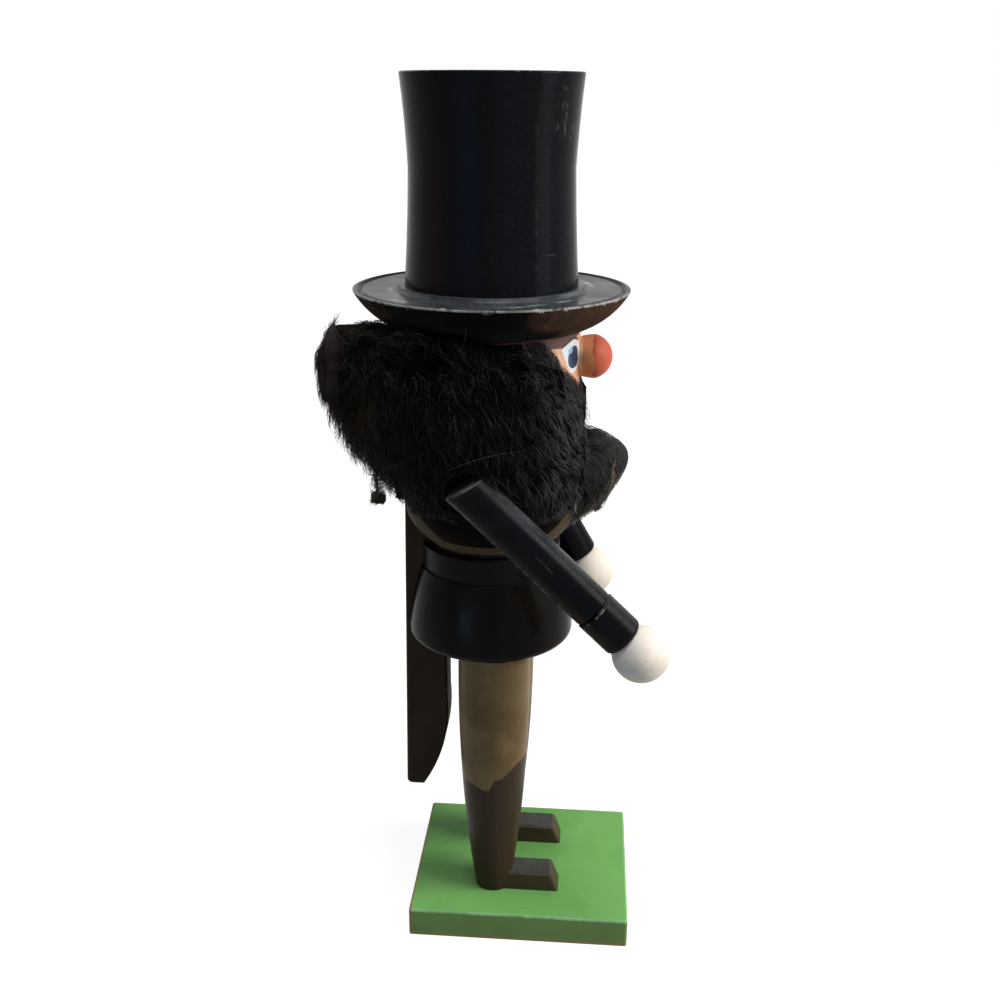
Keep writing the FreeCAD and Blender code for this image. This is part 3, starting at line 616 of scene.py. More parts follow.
UNDERFUR = Fur("underfur_black", srgb(3, 3, 3), srgb(8, 8, 7), srgb(14, 11, 7), 0.9, 0.02)
LONG_FUR = Fur("fur_black", srgb(9, 9, 8), srgb(33, 33, 34), srgb(44, 34, 22), 0.5, 0.05)
CHEEK_FUR = Fur("fur_cheek_grey", srgb(46, 46, 46), srgb(112, 112, 112), srgb(36, 31, 24), 0.5, 0.08)
FLAP_FUR = Fur("fur_hide_brown", srgb(24, 18, 17), srgb(74, 60, 58), srgb(38, 29, 27), 0.6, 0.05)
GUARD_FUR = Fur("guard_hair_grey", srgb(48, 48, 50), srgb(132, 132, 134), srgb(62, 52, 38), 0.42, 0.15)
FRINGE_FUR = Fur("beard_fringe", srgb(96, 78, 54), srgb(190, 168, 134), srgb(96, 78, 54), 0.5, 0.15)
HIDE = Fur("hide_brown", srgb(27, 20, 19), srgb(52, 41, 39), srgb(32, 23, 21), 0.8, 0.05)
TUFT_FUR = Fur("tuft_grey_brown", srgb(104, 96, 84), srgb(140, 130, 116), srgb(104, 94, 80), 0.6, 0.1)
BEARD_FUR = Fur("beard_black", srgb(30, 30, 29), srgb(92, 91, 89), srgb(44, 35, 26), 0.5, 0.08)


def finish_node(name: str, material: bpy.types.Material, crease: float = 28.0) -> bpy.types.Object:
    """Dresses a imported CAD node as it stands: its shape stays, its shading turns smooth between edges.

    Args:
        name: The node's name.
        material: What it is made of.
        crease: Edges sharper than this angle in degrees stay crisp.

    Returns:
        The node's object.
    """
    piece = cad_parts[name]
    piece.data.materials.clear()
    piece.data.materials.append(material)
    piece.data.polygons.foreach_set("use_smooth", [True] * len(piece.data.polygons))
    weld = piece.modifiers.new("weld", "WELD")
    weld.merge_threshold = 0.002 * MM
    split = piece.modifiers.new("creases", "EDGE_SPLIT")
    split.split_angle = math.radians(crease)
    log.info("node %s: %s", name, material.name)
    return piece


def finish_mesh(mesh: bmesh.types.BMesh, name: str, material: bpy.types.Material,
                crease: float = 40.0) -> bpy.types.Object:
    """Turns a finished bmesh into a piece.

    Args:
        mesh: The shape, in metres and in place. It is freed.
        name: The piece's name.
        material: What it is made of.
        crease: Edges sharper than this angle in degrees stay crisp.

    Returns:
        The new object.
    """
    data = bpy.data.meshes.new(name)
    mesh.to_mesh(data)
    mesh.free()
    data.materials.append(material)
    data.shade_smooth()
    data.set_sharp_from_angle(angle=math.radians(crease))
    piece = bpy.data.objects.new(name, data)
    bpy.context.scene.collection.objects.link(piece)
    return piece


def hand_over(piece: bpy.types.Object, body: str, slot: str, *stands_for: str) -> bpy.types.Object:
    """Parents a new piece to its body's empty and hides the CAD nodes that it replaces.

    Args:
        piece: The piece.
        body: The body that it rides on.
        slot: Not used.
        *stands_for: The CAD nodes that it replaces.

    Returns:
        The piece.
    """
    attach(piece, body)
    if stands_for:
        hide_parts(*stands_for)
    log.info("piece %s on %s: %d faces", piece.name, body, len(piece.data.polygons))
    return piece


def merged_copy(node: str) -> bmesh.types.BMesh:
    """A node's solid as a mesh of its own.

    Args:
        node: The node's name.

    Returns:
        A closed mesh, which the caller frees.
    """
    mesh = bmesh.new()
    mesh.from_mesh(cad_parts[node].data)
    bmesh.ops.remove_doubles(mesh, verts=mesh.verts, dist=0.005 * MM)
    return mesh


@dataclass(frozen=True)
class Lamp:
    """A soft rectangular lamp.

    Attributes:
        name: Its name.
        place: Where it stands, in metres.
        size: Its width and height in metres.
        watts: Its power.
        colour: The tint of its light.
    """

    name: str
    place: Triple
    size: Pair
    watts: float
    colour: Triple = (1, 1, 1)

    def hang(self, aim: Vector) -> None:
        """Puts the lamp in the scene.

        Args:
            aim: The point that it is turned to.
        """
        data = bpy.data.lights.new(self.name, "AREA")
        data.shape = "RECTANGLE"
        data.size, data.size_y = self.size
        data.energy = self.watts
        data.color = self.colour
        lamp = bpy.data.objects.new(self.name, data)
        lamp.location = self.place
        lamp.rotation_euler = (aim - Vector(self.place)).to_track_quat("-Z", "Y").to_euler()
        bpy.context.scene.collection.objects.link(lamp)


@dataclass
class Studio:
    """The camera at the photograph's angle, the floor and the soft lamps.

    Attributes:
        eye: The camera's place.
        yaw: Its heading about the upright axis in degrees.
        pitch: How far it looks down in degrees.
        roll: How far it is tilted in degrees.
        lens: Its focal length in millimetres on a sensor 36 mm wide.
        aim: The point that the lamps are turned to.
        surround: The strength of the light from all round.
        floor_half: Half the floor's side in metres.
        floor_glow: The floor's own whiteness where it is looked at.
        shade: The ring round the figure, in metres, where that whiteness gives way to the shadow.
        lamps: The lamps.
    """

    eye: Vector = field(default_factory=lambda: mm(-478.95, -40.3, 372.65))
    yaw: float = 4.343
    pitch: float = 19.561
    roll: float = 0.315
    lens: float = 41.4
    aim: Vector = field(default_factory=lambda: mm(0, 0, 200))
    surround: float = 0.095
    floor_half: float = 6.0
    floor_glow: float = 1.0
    shade: Pair = (0.16, 0.5)
    lamps: tuple[Lamp, ...] = (
        Lamp("key", (-0.2, -1.38, 0.92), (0.8, 0.8), 18.5),
        Lamp("strip", (-0.18, -0.73, 0.5), (0.3, 0.9), 1.6),
        Lamp("ceiling", (-0.2, -0.15, 1.5), (0.5, 0.5), 8.6),
        Lamp("window", (-0.64, 0.347, 0.094), (0.22, 0.05), 0.5, (0.3, 0.62, 1.0)),
        Lamp("back", (0.8, 1.0, 1.1), (0.9, 0.9), 2.8))

    def build(self) -> None:
        """Sets up everything that isn't part of the figure."""
        bpy.context.scene.view_settings.view_transform = "Standard"
        self._camera()
        self._floor()
        self._world()
        for lamp in self.lamps:
            lamp.hang(self.aim)

    def _camera(self) -> None:
        """The camera, placed and turned as for the photograph."""
        yaw, pitch, roll = (math.radians(angle) for angle in (self.yaw, self.pitch, self.roll))
        ahead = Vector((math.cos(pitch) * math.cos(yaw), math.cos(pitch) * math.sin(yaw), -math.sin(pitch)))
        level = ahead.cross(Z_AXIS).normalized()
        upright = level.cross(ahead)
        right = level * math.cos(roll) + upright * math.sin(roll)
        up = upright * math.cos(roll) - level * math.sin(roll)
        data = bpy.data.cameras.new("camera")
        data.sensor_width = 36.0
        data.lens = self.lens
        camera = bpy.data.objects.new("camera", data)
        camera.matrix_world = Matrix.Translation(self.eye) @ Matrix((right, up, -ahead)).transposed().to_4x4()
        bpy.context.scene.collection.objects.link(camera)
        bpy.context.scene.camera = camera

    def _floor(self) -> None:
        """A wide white floor that keeps the figure's shadow."""
        mesh = bmesh.new()
        bmesh.ops.create_grid(mesh, x_segments=4, y_segments=4, size=self.floor_half)
        graph = Graph("pale_floor")
        glow = self._seen(graph.nodes, graph.links, 0.0, self.floor_glow)
        glow = graph.math("MULTIPLY", glow, graph.fade(graph.radius(), *self.shade, 0.9, 1.0))
        colour = graph.mix(graph.fade(graph.noise(9, 3), 0.3, 0.7), srgb(152, 151, 149), srgb(148, 147, 145))
        graph.surface(colour, 0.9, None, Specular_IOR_Level=0.05, Emission_Color=(1, 1, 1, 1), Emission_Strength=glow)
        finish_mesh(mesh, "floor", graph.material)

    def _world(self) -> None:
        """A plain soft surround, white where it is seen, also in gloss."""
        world = bpy.data.worlds.new("surround")
        world.use_nodes = True
        nodes, links = world.node_tree.nodes, world.node_tree.links
        light = nodes["Background"]
        links.new(self._seen(nodes, links, self.surround, 1.0), light.inputs["Strength"])
        light.inputs["Color"].default_value = (1, 1, 1, 1)
        bpy.context.scene.world = world

    @staticmethod
    def _seen(nodes: bpy.types.Nodes, links: bpy.types.NodeLinks, plain: float, seen: float) -> Socket:
        """A strength for the rays that look at a thing, directly or in gloss or glass, and another for the rest.

        Args:
            nodes: The nodes of the tree.
            links: The links of the tree.
            plain: The strength for the rays that light the figure.
            seen: The strength for the rays that look.

        Returns:
            The strength.
        """
        path = nodes.new("ShaderNodeLightPath")
        looks = path.outputs["Is Camera Ray"]
        for name in ("Is Glossy Ray", "Is Transmission Ray"):
            either = nodes.new("ShaderNodeMath")
            either.operation = "MAXIMUM"
            links.new(looks, either.inputs[0])
            links.new(path.outputs[name], either.inputs[1])
            looks = either.outputs[0]
        strength = nodes.new("ShaderNodeMapRange")
        strength.inputs["To Min"].default_value = plain
        strength.inputs["To Max"].default_value = seen
        links.new(looks, strength.inputs["Value"])
        return strength.outputs[0]


@dataclass
class Stand:
    """The painted block under the feet, the shoes and the legs.

    Attributes:
        top: The height of the block's top in millimetres.
        shoe_rise: How far above it the painted sheen on a shoe's top starts.
        shaft: The height in millimetres of the boot's edge behind and at its outer side.
        shaft_step: How much the edge climbs from there to its front, in two steps.
    """

    top: float = 14.2
    shoe_rise: float = 8.6
    shaft: Pair = (75.4, 73.4)
    shaft_step: Pair = (6.0, 7.5)

    def build(self) -> None:
        """Dresses the block, the shoes and the legs."""
        # painted shade on the block's sides and a painted highlight along its upper edges
        sides = [Zone(self._block_sides_shade, srgb(108, 140, 76)), Zone(self._block_rim_highlight, srgb(160, 206, 150))]
        finish_node("base_plinth", GREEN_PAINT.brush_on(sides, self._block_edges))
        for side in ("right", "left"):
            # painted sheen on each shoe's top
            finish_node(f"shoe_{side}", BOOT_PAINT.brush_on([Zone(self._shoe_top_sheen, srgb(66, 63, 57))]))
            finish_node(f"leg_{side}", TROUSER_PAINT.brush_on([Zone(self._boot, srgb(60, 48, 34))]))

    def _block_sides_shade(self, graph: Graph) -> Socket:
        """Painted shade: the block's sides, darker than its top."""
        return graph.fade(graph.axis("Z"), (self.top - 0.5) * MM, (self.top - 1.1) * MM)

    def _block_rim_highlight(self, graph: Graph) -> Socket:
        """The lighter line along the block's upper edges: a painted highlight on their rounding, with some wear."""
        ragged = graph.fade(graph.noise(130, 4), 0.35, 0.6, 0.2, 0.8)
        return graph.shared(graph.band(graph.axis("Z"), (self.top - 0.9) * MM, 0.4 * MM, 0.4 * MM), ragged)

    def _block_edges(self, graph: Graph) -> Socket:
        """Where the block is rubbed.

        Args:
            graph: The material under construction.

        Returns:
            The mask of its lower edges and its rear end.
        """
        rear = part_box("base_plinth")[1].y
        foot = graph.fade(graph.axis("Z"), 2.6 * MM, 0.4 * MM)
        corner = graph.fade(graph.axis("Y"), rear - 2.2 * MM, rear - 0.5 * MM)
        return graph.math("MULTIPLY", graph.total(foot, corner), 0.6)

    def _shoe_top_sheen(self, graph: Graph) -> Socket:
        """A painted sheen on a shoe's top, which turns it greyer."""
        rise = self.top + self.shoe_rise
        return graph.fade(graph.axis("Z"), rise * MM, (rise + 0.6) * MM)

    def _boot(self, graph: Graph) -> Socket:
        """The boot's shaft, with a dip at its outer side and a higher front.

        Args:
            graph: The material under construction.

        Returns:
            The mask of the boot's paint.
        """
        y = graph.axis("Y")
        behind, side = self.shaft
        first, second = self.shaft_step
        back = graph.fade(y, 9.4 * MM, -1.6 * MM, behind * MM, side * MM)
        step = graph.fade(y, -1.8 * MM, -5.2 * MM, 0, first * MM)
        front = graph.fade(y, -5.6 * MM, -18.0 * MM, 0, second * MM)
        line = graph.math("ADD", graph.math("ADD", back, step), front)
        line = graph.math("ADD", line, graph.fade(graph.noise(160, 3), 0.3, 0.7, -0.5 * MM, 0.5 * MM))
        return graph.fade(graph.math("SUBTRACT", graph.axis("Z"), line), 0.25 * MM, -0.25 * MM)


DOWELS = ("hip_dowels", "waist_dowels", "neck_dowels", "ankle_dowels", "hat_dowel", "hand_dowels",
          "shoulder_dowel_right", "shoulder_dowel_left")


@dataclass
class Coat:
    """The turned body in its painted tailcoat, with the tail on the lever behind it. All sizes are in millimetres.

    Attributes:
        belt: The belt's lower and upper edge.
        band: The olive hem's lower and upper edge in front.
        band_rise: How much the hem rises towards the back.
        band_climb: How much its upper edge climbs beyond that.
        vest_half_width: Half the vest's width at its top.
        vest_top: The height of the vest's top.
        jaw_teeth: The lowest and highest point of the lower teeth.
        jaw_teeth_half: Half the width of the lower teeth.
    """

    belt: Pair = (173.5, 184.5)
    band: Pair = (187.0, 192.7)
    band_rise: float = 2.8
    band_climb: float = 13.0
    vest_half_width: float = 17.0
    vest_top: float = 204.0
    jaw_teeth: Pair = (235.0, 239.6)
    jaw_teeth_half: float = 7.0

    def build(self) -> None:
        """Dresses the skirt block, the chest, the lever and its pin."""
        belt = Zone(lambda graph: graph.level(self.belt), srgb(18, 15, 12), 0.15)
        finish_node("skirt_block", COAT_LACQUER.brush_on([belt]), 20)
        chest = CHEST_PAINT.brush_on([Zone(self._band, VEST), Zone(self._vest, VEST)])
        for name in ("chest_right", "chest_left", "chest_core"):
            finish_node(name, chest, 20)
        jaw = [Zone(self._jaw, srgb(42, 31, 23)), *painted_teeth(self.jaw_teeth, self.jaw_teeth_half)]
        finish_node("jaw_lever", LEVER_PAINT.brush_on(jaw, self._tail_edge))
        finish_node("pivot_pin", BareWood("pin_wood", turn=(0, math.pi / 2, 0)).plain())
        for name in DOWELS:
            finish_node(name, BareWood("dowel_wood").plain())

    def _band(self, graph: Graph) -> Socket:
        """The olive hem along the chest's rounded bottom, higher towards the back.

        Args:
            graph: The material under construction.

        Returns:
            The hem's mask.
        """
        drop = graph.fade(graph.axis("Y"), 12 * MM, 26 * MM, 0, -self.band_rise * MM)
        wave = graph.fade(graph.noise(60, 2), 0.3, 0.7, -0.4 * MM, 0.4 * MM)
        z = graph.math("ADD", graph.axis("Z"), graph.math("ADD", drop, wave))
        low, high = self.band
        climb = graph.fade(graph.axis("Y"), 17 * MM, 38 * MM, 0, self.band_climb * MM)
        below = graph.fade(graph.math("SUBTRACT", z, climb), (high + 0.2) * MM, (high - 0.2) * MM)
        over = graph.math("SUBTRACT", z, graph.math("MULTIPLY", climb, 0.6))
        return graph.shared(below, graph.fade(over, (low - 0.2) * MM, (low + 0.2) * MM))

    def _vest(self, graph: Graph) -> Socket:
        """The vest between the coat's fronts.

        Args:
            graph: The material under construction.

        Returns:
            The vest's mask.
        """
        front = graph.fade(graph.axis("Y"), -12 * MM, -14 * MM)
        slope = graph.math("MULTIPLY", graph.math("SUBTRACT", self.vest_top * MM, graph.axis("Z")), 1.1)
        wide = graph.math("ADD", slope, self.vest_half_width * MM)
        inside = graph.math("SUBTRACT", graph.math("ABSOLUTE", graph.axis("X")), wide)
        return graph.shared(front, graph.fade(inside, 0.3 * MM, -0.3 * MM))

    def _jaw(self, graph: Graph) -> Socket:
        """The browner paint of the jaw."""
        return graph.fade(graph.axis("Y"), -6 * MM, -16 * MM)

    def _tail_edge(self, graph: Graph) -> Socket:
        """The slightly rubbed long edges of the lever.

        Args:
            graph: The material under construction.

        Returns:
            The mask of the wear on its bevels.
        """
        side = graph.fade(graph.math("ABSOLUTE", graph.axis("X")), 7.2 * MM, 7.5 * MM)
        flat = graph.fade(graph.math("ABSOLUTE", graph.axis("X")), 7.98 * MM, 7.9 * MM)
        ragged = graph.fade(graph.noise(240, 4, 0.6), 0.52, 0.66, 0, 0.2)
        return graph.shared(side, flat, ragged)


@dataclass
class Arm:
    """One turned arm with its cuff and wooden hand.

    Attributes:
        side: The figure's right or left.
        shoulder: The middle of the sleeve's upper end.
        slope: How far the arm points down, in degrees.
        cuff: How far along the arm the cuff's groove lies, in millimetres.
        scratch: The upper end of the scratch on the right sleeve.
        scratch_slope: How far the scratch points down, in radians.
    """

    side: str
    shoulder: Vector
    slope: float
    cuff: float = 73.5
    scratch: Vector = field(default_factory=lambda: mm(-56, -22.3, 197.5))
    scratch_slope: float = 0.66

    @property
    def direction(self) -> Vector:
        """The way from the shoulder end to the hand."""
        angle = math.radians(self.slope)
        return Vector((0, -math.cos(angle), -math.sin(angle)))

    @property
    def across(self) -> Vector:
        """The way square to the arm, up and forward."""
        return Vector((0, self.direction.z, -self.direction.y))

    def build(self) -> None:
        """Dresses the arm and the hand."""
        turn = (math.radians(-(90 - self.slope)), 0, 0)
        paint = Paint(f"sleeve_lacquer_{self.side}", BLACK, srgb(15, 14, 15), PRIMER, (0.18, 0.3), LACQUER_SHINE,
                      Lay.UPRIGHT, 0.02, 0.8, 0.0, 0.5, (srgb(22, 17, 14), srgb(10, 12, 17)), turn)
        # painted reflection: warm brown along the sleeve's lower side
        lower = Zone(self._underside_reflection, srgb(30, 23, 16), 0.2)
        finish_node(f"arm_{self.side}", paint.brush_on([lower], self._wear))
        hand = BareWood(f"hand_wood_{self.side}", srgb(246, 236, 222), srgb(220, 200, 182), 0.3, turn=turn)
        finish_node(f"hand_{self.side}", hand.plain())

    def _underside_reflection(self, graph: Graph) -> Socket:
        """A painted warm reflection, brown along the lower side of the sleeve."""
        low = graph.math("ADD", graph.along(self.shoulder, self.across),
                         graph.fade(graph.noise(120, 4), 0.3, 0.7, -1.5 * MM, 1.5 * MM))
        return graph.fade(low, 0.0, -6.0 * MM)

    def _wear(self, graph: Graph) -> Socket:
        """The pale rim at the shoulder end, a faint cuff line, a worn line below and a short scratch.

        Args:
            graph: The material under construction.

        Returns:
            The mask of all the wear.
        """
        along = graph.along(self.shoulder, self.direction)
        across = graph.along(self.shoulder, self.across)
        ragged = graph.fade(graph.noise(420, 4, 0.6), 0.36, 0.6)
        slant = graph.math("SUBTRACT", along, graph.math("MULTIPLY", across, 0.17))
        rim = graph.shared(graph.band(slant, -1.6 * MM, 0.25 * MM, 0.5 * MM), ragged,
                           graph.fade(across, -2 * MM, 6 * MM, 0.15, 0.6))
        cuff = graph.shared(graph.band(along, self.cuff * MM, 0.15 * MM, 0.25 * MM),
                            graph.fade(graph.noise(300, 4), 0.5, 0.66, 0, 0.5))
        foot = graph.shared(graph.band(across, -7.4 * MM, 0.3 * MM, 0.9 * MM),
                            graph.fade(graph.noise(260, 5, 0.6), 0.45, 0.65, 0, 0.3))
        return graph.total(rim, cuff, foot, graph.math("MULTIPLY", self._scratch(graph), 0.1))

    def _scratch(self, graph: Graph) -> Socket:
        """The short wavy scratch, on the outer side of the right sleeve.

        Args:
            graph: The material under construction.

        Returns:
            The scratch's mask.
        """
        down, ahead = math.sin(self.scratch_slope), math.cos(self.scratch_slope)
        wiggle = graph.fade(graph.noise(60, 1), 0.3, 0.7, -0.9 * MM, 0.9 * MM)
        line = graph.math("ADD", graph.along(self.scratch, Vector((0, -down, ahead))), wiggle)
        reach = graph.along(self.scratch, Vector((0, -ahead, -down)))
        return graph.shared(graph.band(line, 0.0, 0.07 * MM, 0.2 * MM), graph.band(reach, 4.6 * MM, 4.4 * MM, 0.8 * MM),
                            graph.fade(graph.axis("X"), -50 * MM, -52 * MM))


def painted_teeth(span: Pair, half_width: float) -> list[Zone]:
    """A white band with thin dark lines between the teeth.

    Args:
        span: The lowest and highest point of the band in millimetres.
        half_width: How far it reaches to each side in millimetres.

    Returns:
        The band and its lines.
    """
    low, high = span

    def band(graph: Graph) -> Socket:
        """The white band.

        Args:
            graph: The material under construction.

        Returns:
            The band's mask, on the front only.
        """
        tall = graph.band(graph.axis("Z"), (low + high) / 2 * MM, (high - low) / 2 * MM, 0.2 * MM)
        wide = graph.band(graph.axis("X"), 0.0, half_width * MM, 0.2 * MM)
        return graph.shared(tall, wide, graph.fade(graph.axis("Y"), -34 * MM, -35 * MM))

    def lines(graph: Graph) -> Socket:
        """The lines between the teeth, 3 mm apart."""
        stripe = graph.fade(graph.math("PINGPONG", graph.axis("X"), 1.5 * MM), 0.28 * MM, 0.16 * MM)
        return graph.shared(band(graph), stripe)

    return [Zone(band, srgb(222, 216, 200)), Zone(lines, srgb(70, 50, 40))]


EYE_WHITE = Paint("eye_white", srgb(240, 240, 238), srgb(222, 226, 228), WOOD, (0.25, 0.4), 0.35, Lay.ROUND, 0.01, 0, 0)
EYE_LINER = Paint("eye_liner", srgb(30, 34, 34), srgb(48, 48, 46), WOOD, (0.3, 0.4), 0.3, Lay.ROUND, 0.01, 0, 0)
IRIS_BLUE = Paint("iris_blue", srgb(34, 72, 110), srgb(42, 58, 88), WOOD, (0.2, 0.3), 0.3, Lay.ROUND, 0.02, 0, 0, 0.0,
                  (srgb(66, 120, 166), srgb(26, 44, 84)))
PUPIL_NAVY = Paint("pupil_navy", srgb(16, 24, 52), srgb(22, 32, 64), WOOD, (0.2, 0.3), 0.4, Lay.ROUND, 0.01, 0, 0)
EYE_GLINT = Paint("eye_glint", srgb(158, 204, 236), srgb(128, 182, 224), WOOD, (0.2, 0.3), 0.4, Lay.ROUND, 0.01, 0, 0)


@dataclass(frozen=True)
class Oval:
    """One oval of paint that an eye is built up from.

    Attributes:
        name: The piece's name without its side.
        paint: The paint.
        angle: Degrees of its middle from the front.
        height: Height of its middle in millimetres.
        size: Half width and half height in millimetres.
        proud: How far its middle stands off the wood in millimetres.
        corner: How high its outer end is drawn into a corner, as a share of its half height.
    """

    name: str
    paint: Paint
    angle: float
    height: float
    size: Pair
    proud: float
    corner: float = 0.0


@dataclass
class Head:
    """The painted face: skin, teeth, eyes and nose. All sizes are in millimetres.

    Attributes:
        radius: The head's radius.
        teeth: The lowest and highest point of the upper teeth.
        teeth_half: Half their width.
        lip: The lowest and highest point of the lip.
        lip_half: Half its width.
        eye: The layers of an eye, from the lowest to the uppermost.
    """

    radius: float = 37.5
    teeth: Pair = (247.2, 251.6)
    teeth_half: float = 8.6
    lip: Pair = (251.8, 253.4)
    lip_half: float = 9.0
    eye: tuple[Oval, ...] = (
        Oval("eye_liner", EYE_LINER, 23.2, 271.5, (11.0, 8.0), 0.10, 0.62),
        Oval("eye_white", EYE_WHITE, 22.6, 270.7, (10.6, 7.7), 0.18, 0.66),
        Oval("iris", IRIS_BLUE, 21.4, 270.2, (6.2, 5.5), 0.30),
        Oval("pupil", PUPIL_NAVY, 17.0, 268.9, (2.7, 3.7), 0.40),
        Oval("eye_glint", EYE_GLINT, 26.5, 273.4, (2.1, 1.6), 0.40))

    def build(self) -> None:
        """Dresses the head and the nose and lays the painted eyes on."""
        # painted shade of the brim on the forehead
        face = [Zone(self._brim_shade, srgb(98, 72, 66), 0.3), Zone(self._lip, srgb(168, 66, 56))]
        finish_node("head_block", SKIN_PAINT.brush_on(face + painted_teeth(self.teeth, self.teeth_half)))
        nose = [Zone(self._nose_front, srgb(206, 98, 72)), Zone(self._nose_root, srgb(232, 196, 160))]
        finish_node("nose", NOSE_PAINT.brush_on(nose))
        materials = [oval.paint.brush_on() for oval in self.eye]
        for side, sign in (("right", -1), ("left", 1)):
            for oval, material in zip(self.eye, materials):
                piece = finish_mesh(self._oval(oval, sign), f"{oval.name}_{side}", material)
                hand_over(piece, FIGURE, "skin_paint")

    def _oval(self, oval: Oval, sign: int) -> bmesh.types.BMesh:
        """Lays an oval of paint on the head.

        Args:
            oval: Its place and size.
            sign: -1 for the right eye and 1 for the left.

        Returns:
            Its thin domed shape.
        """
        mesh = bmesh.new()
        bmesh.ops.create_circle(mesh, cap_ends=True, segments=48, radius=1.0)
        for _ in range(4):
            bmesh.ops.inset_region(mesh, faces=[face for face in mesh.faces if len(face.verts) > 4],
                                   thickness=0.2, use_boundary=True)
        for vertex in mesh.verts:
            lift = oval.proud * (1 - min(1.0, vertex.co.length) ** 6) - 0.05
            outer = max(0.0, vertex.co.x) ** 1.6 if oval.corner else 0.0
            up = vertex.co.y * (1 - 0.9 * outer) + oval.corner * outer
            turn = sign * (math.radians(oval.angle) + vertex.co.x * oval.size[0] / self.radius)
            reach = self.radius + lift
            vertex.co = mm(reach * math.sin(turn), -reach * math.cos(turn), oval.height + up * oval.size[1])
        bmesh.ops.recalc_face_normals(mesh, faces=mesh.faces)
        if sum(face.normal.dot(face.calc_center_median()) for face in mesh.faces) < 0:
            bmesh.ops.reverse_faces(mesh, faces=mesh.faces)
        return mesh

    def _lip(self, graph: Graph) -> Socket:
        """The painted lip over the upper teeth."""
        return graph.shared(graph.level(self.lip), graph.fade(graph.axis("Y"), -33 * MM, -35 * MM),
                            graph.band(graph.axis("X"), 0.0, self.lip_half * MM, 0.5 * MM))

    def _brim_shade(self, graph: Graph) -> Socket:
        """Painted shade of the brim on the forehead, lower towards the temples.

        Args:
            graph: The material under construction.

        Returns:
            The mask of the painted shade.
        """
        lid = graph.fade(graph.math("ABSOLUTE", graph.axis("X")), 8 * MM, 26 * MM, 278.4 * MM, 275.2 * MM)
        lid = graph.math("ADD", lid, graph.fade(graph.noise(140, 3), 0.3, 0.7, -0.3 * MM, 0.3 * MM))
        return graph.fade(graph.math("SUBTRACT", graph.axis("Z"), lid), -0.2 * MM, 0.5 * MM)

    def _nose_front(self, graph: Graph) -> Socket:
        """The redder end of the nose."""
        y = graph.math("ADD", graph.axis("Y"), graph.fade(graph.noise(150, 2), 0.3, 0.7, -0.7 * MM, 0.7 * MM))
        return graph.fade(y, -42.6 * MM, -43.6 * MM)

    def _nose_root(self, graph: Graph) -> Socket:
        """The pale ring where the nose meets the head."""
        return graph.fade(graph.axis("Y"), -38.9 * MM, -38.3 * MM)


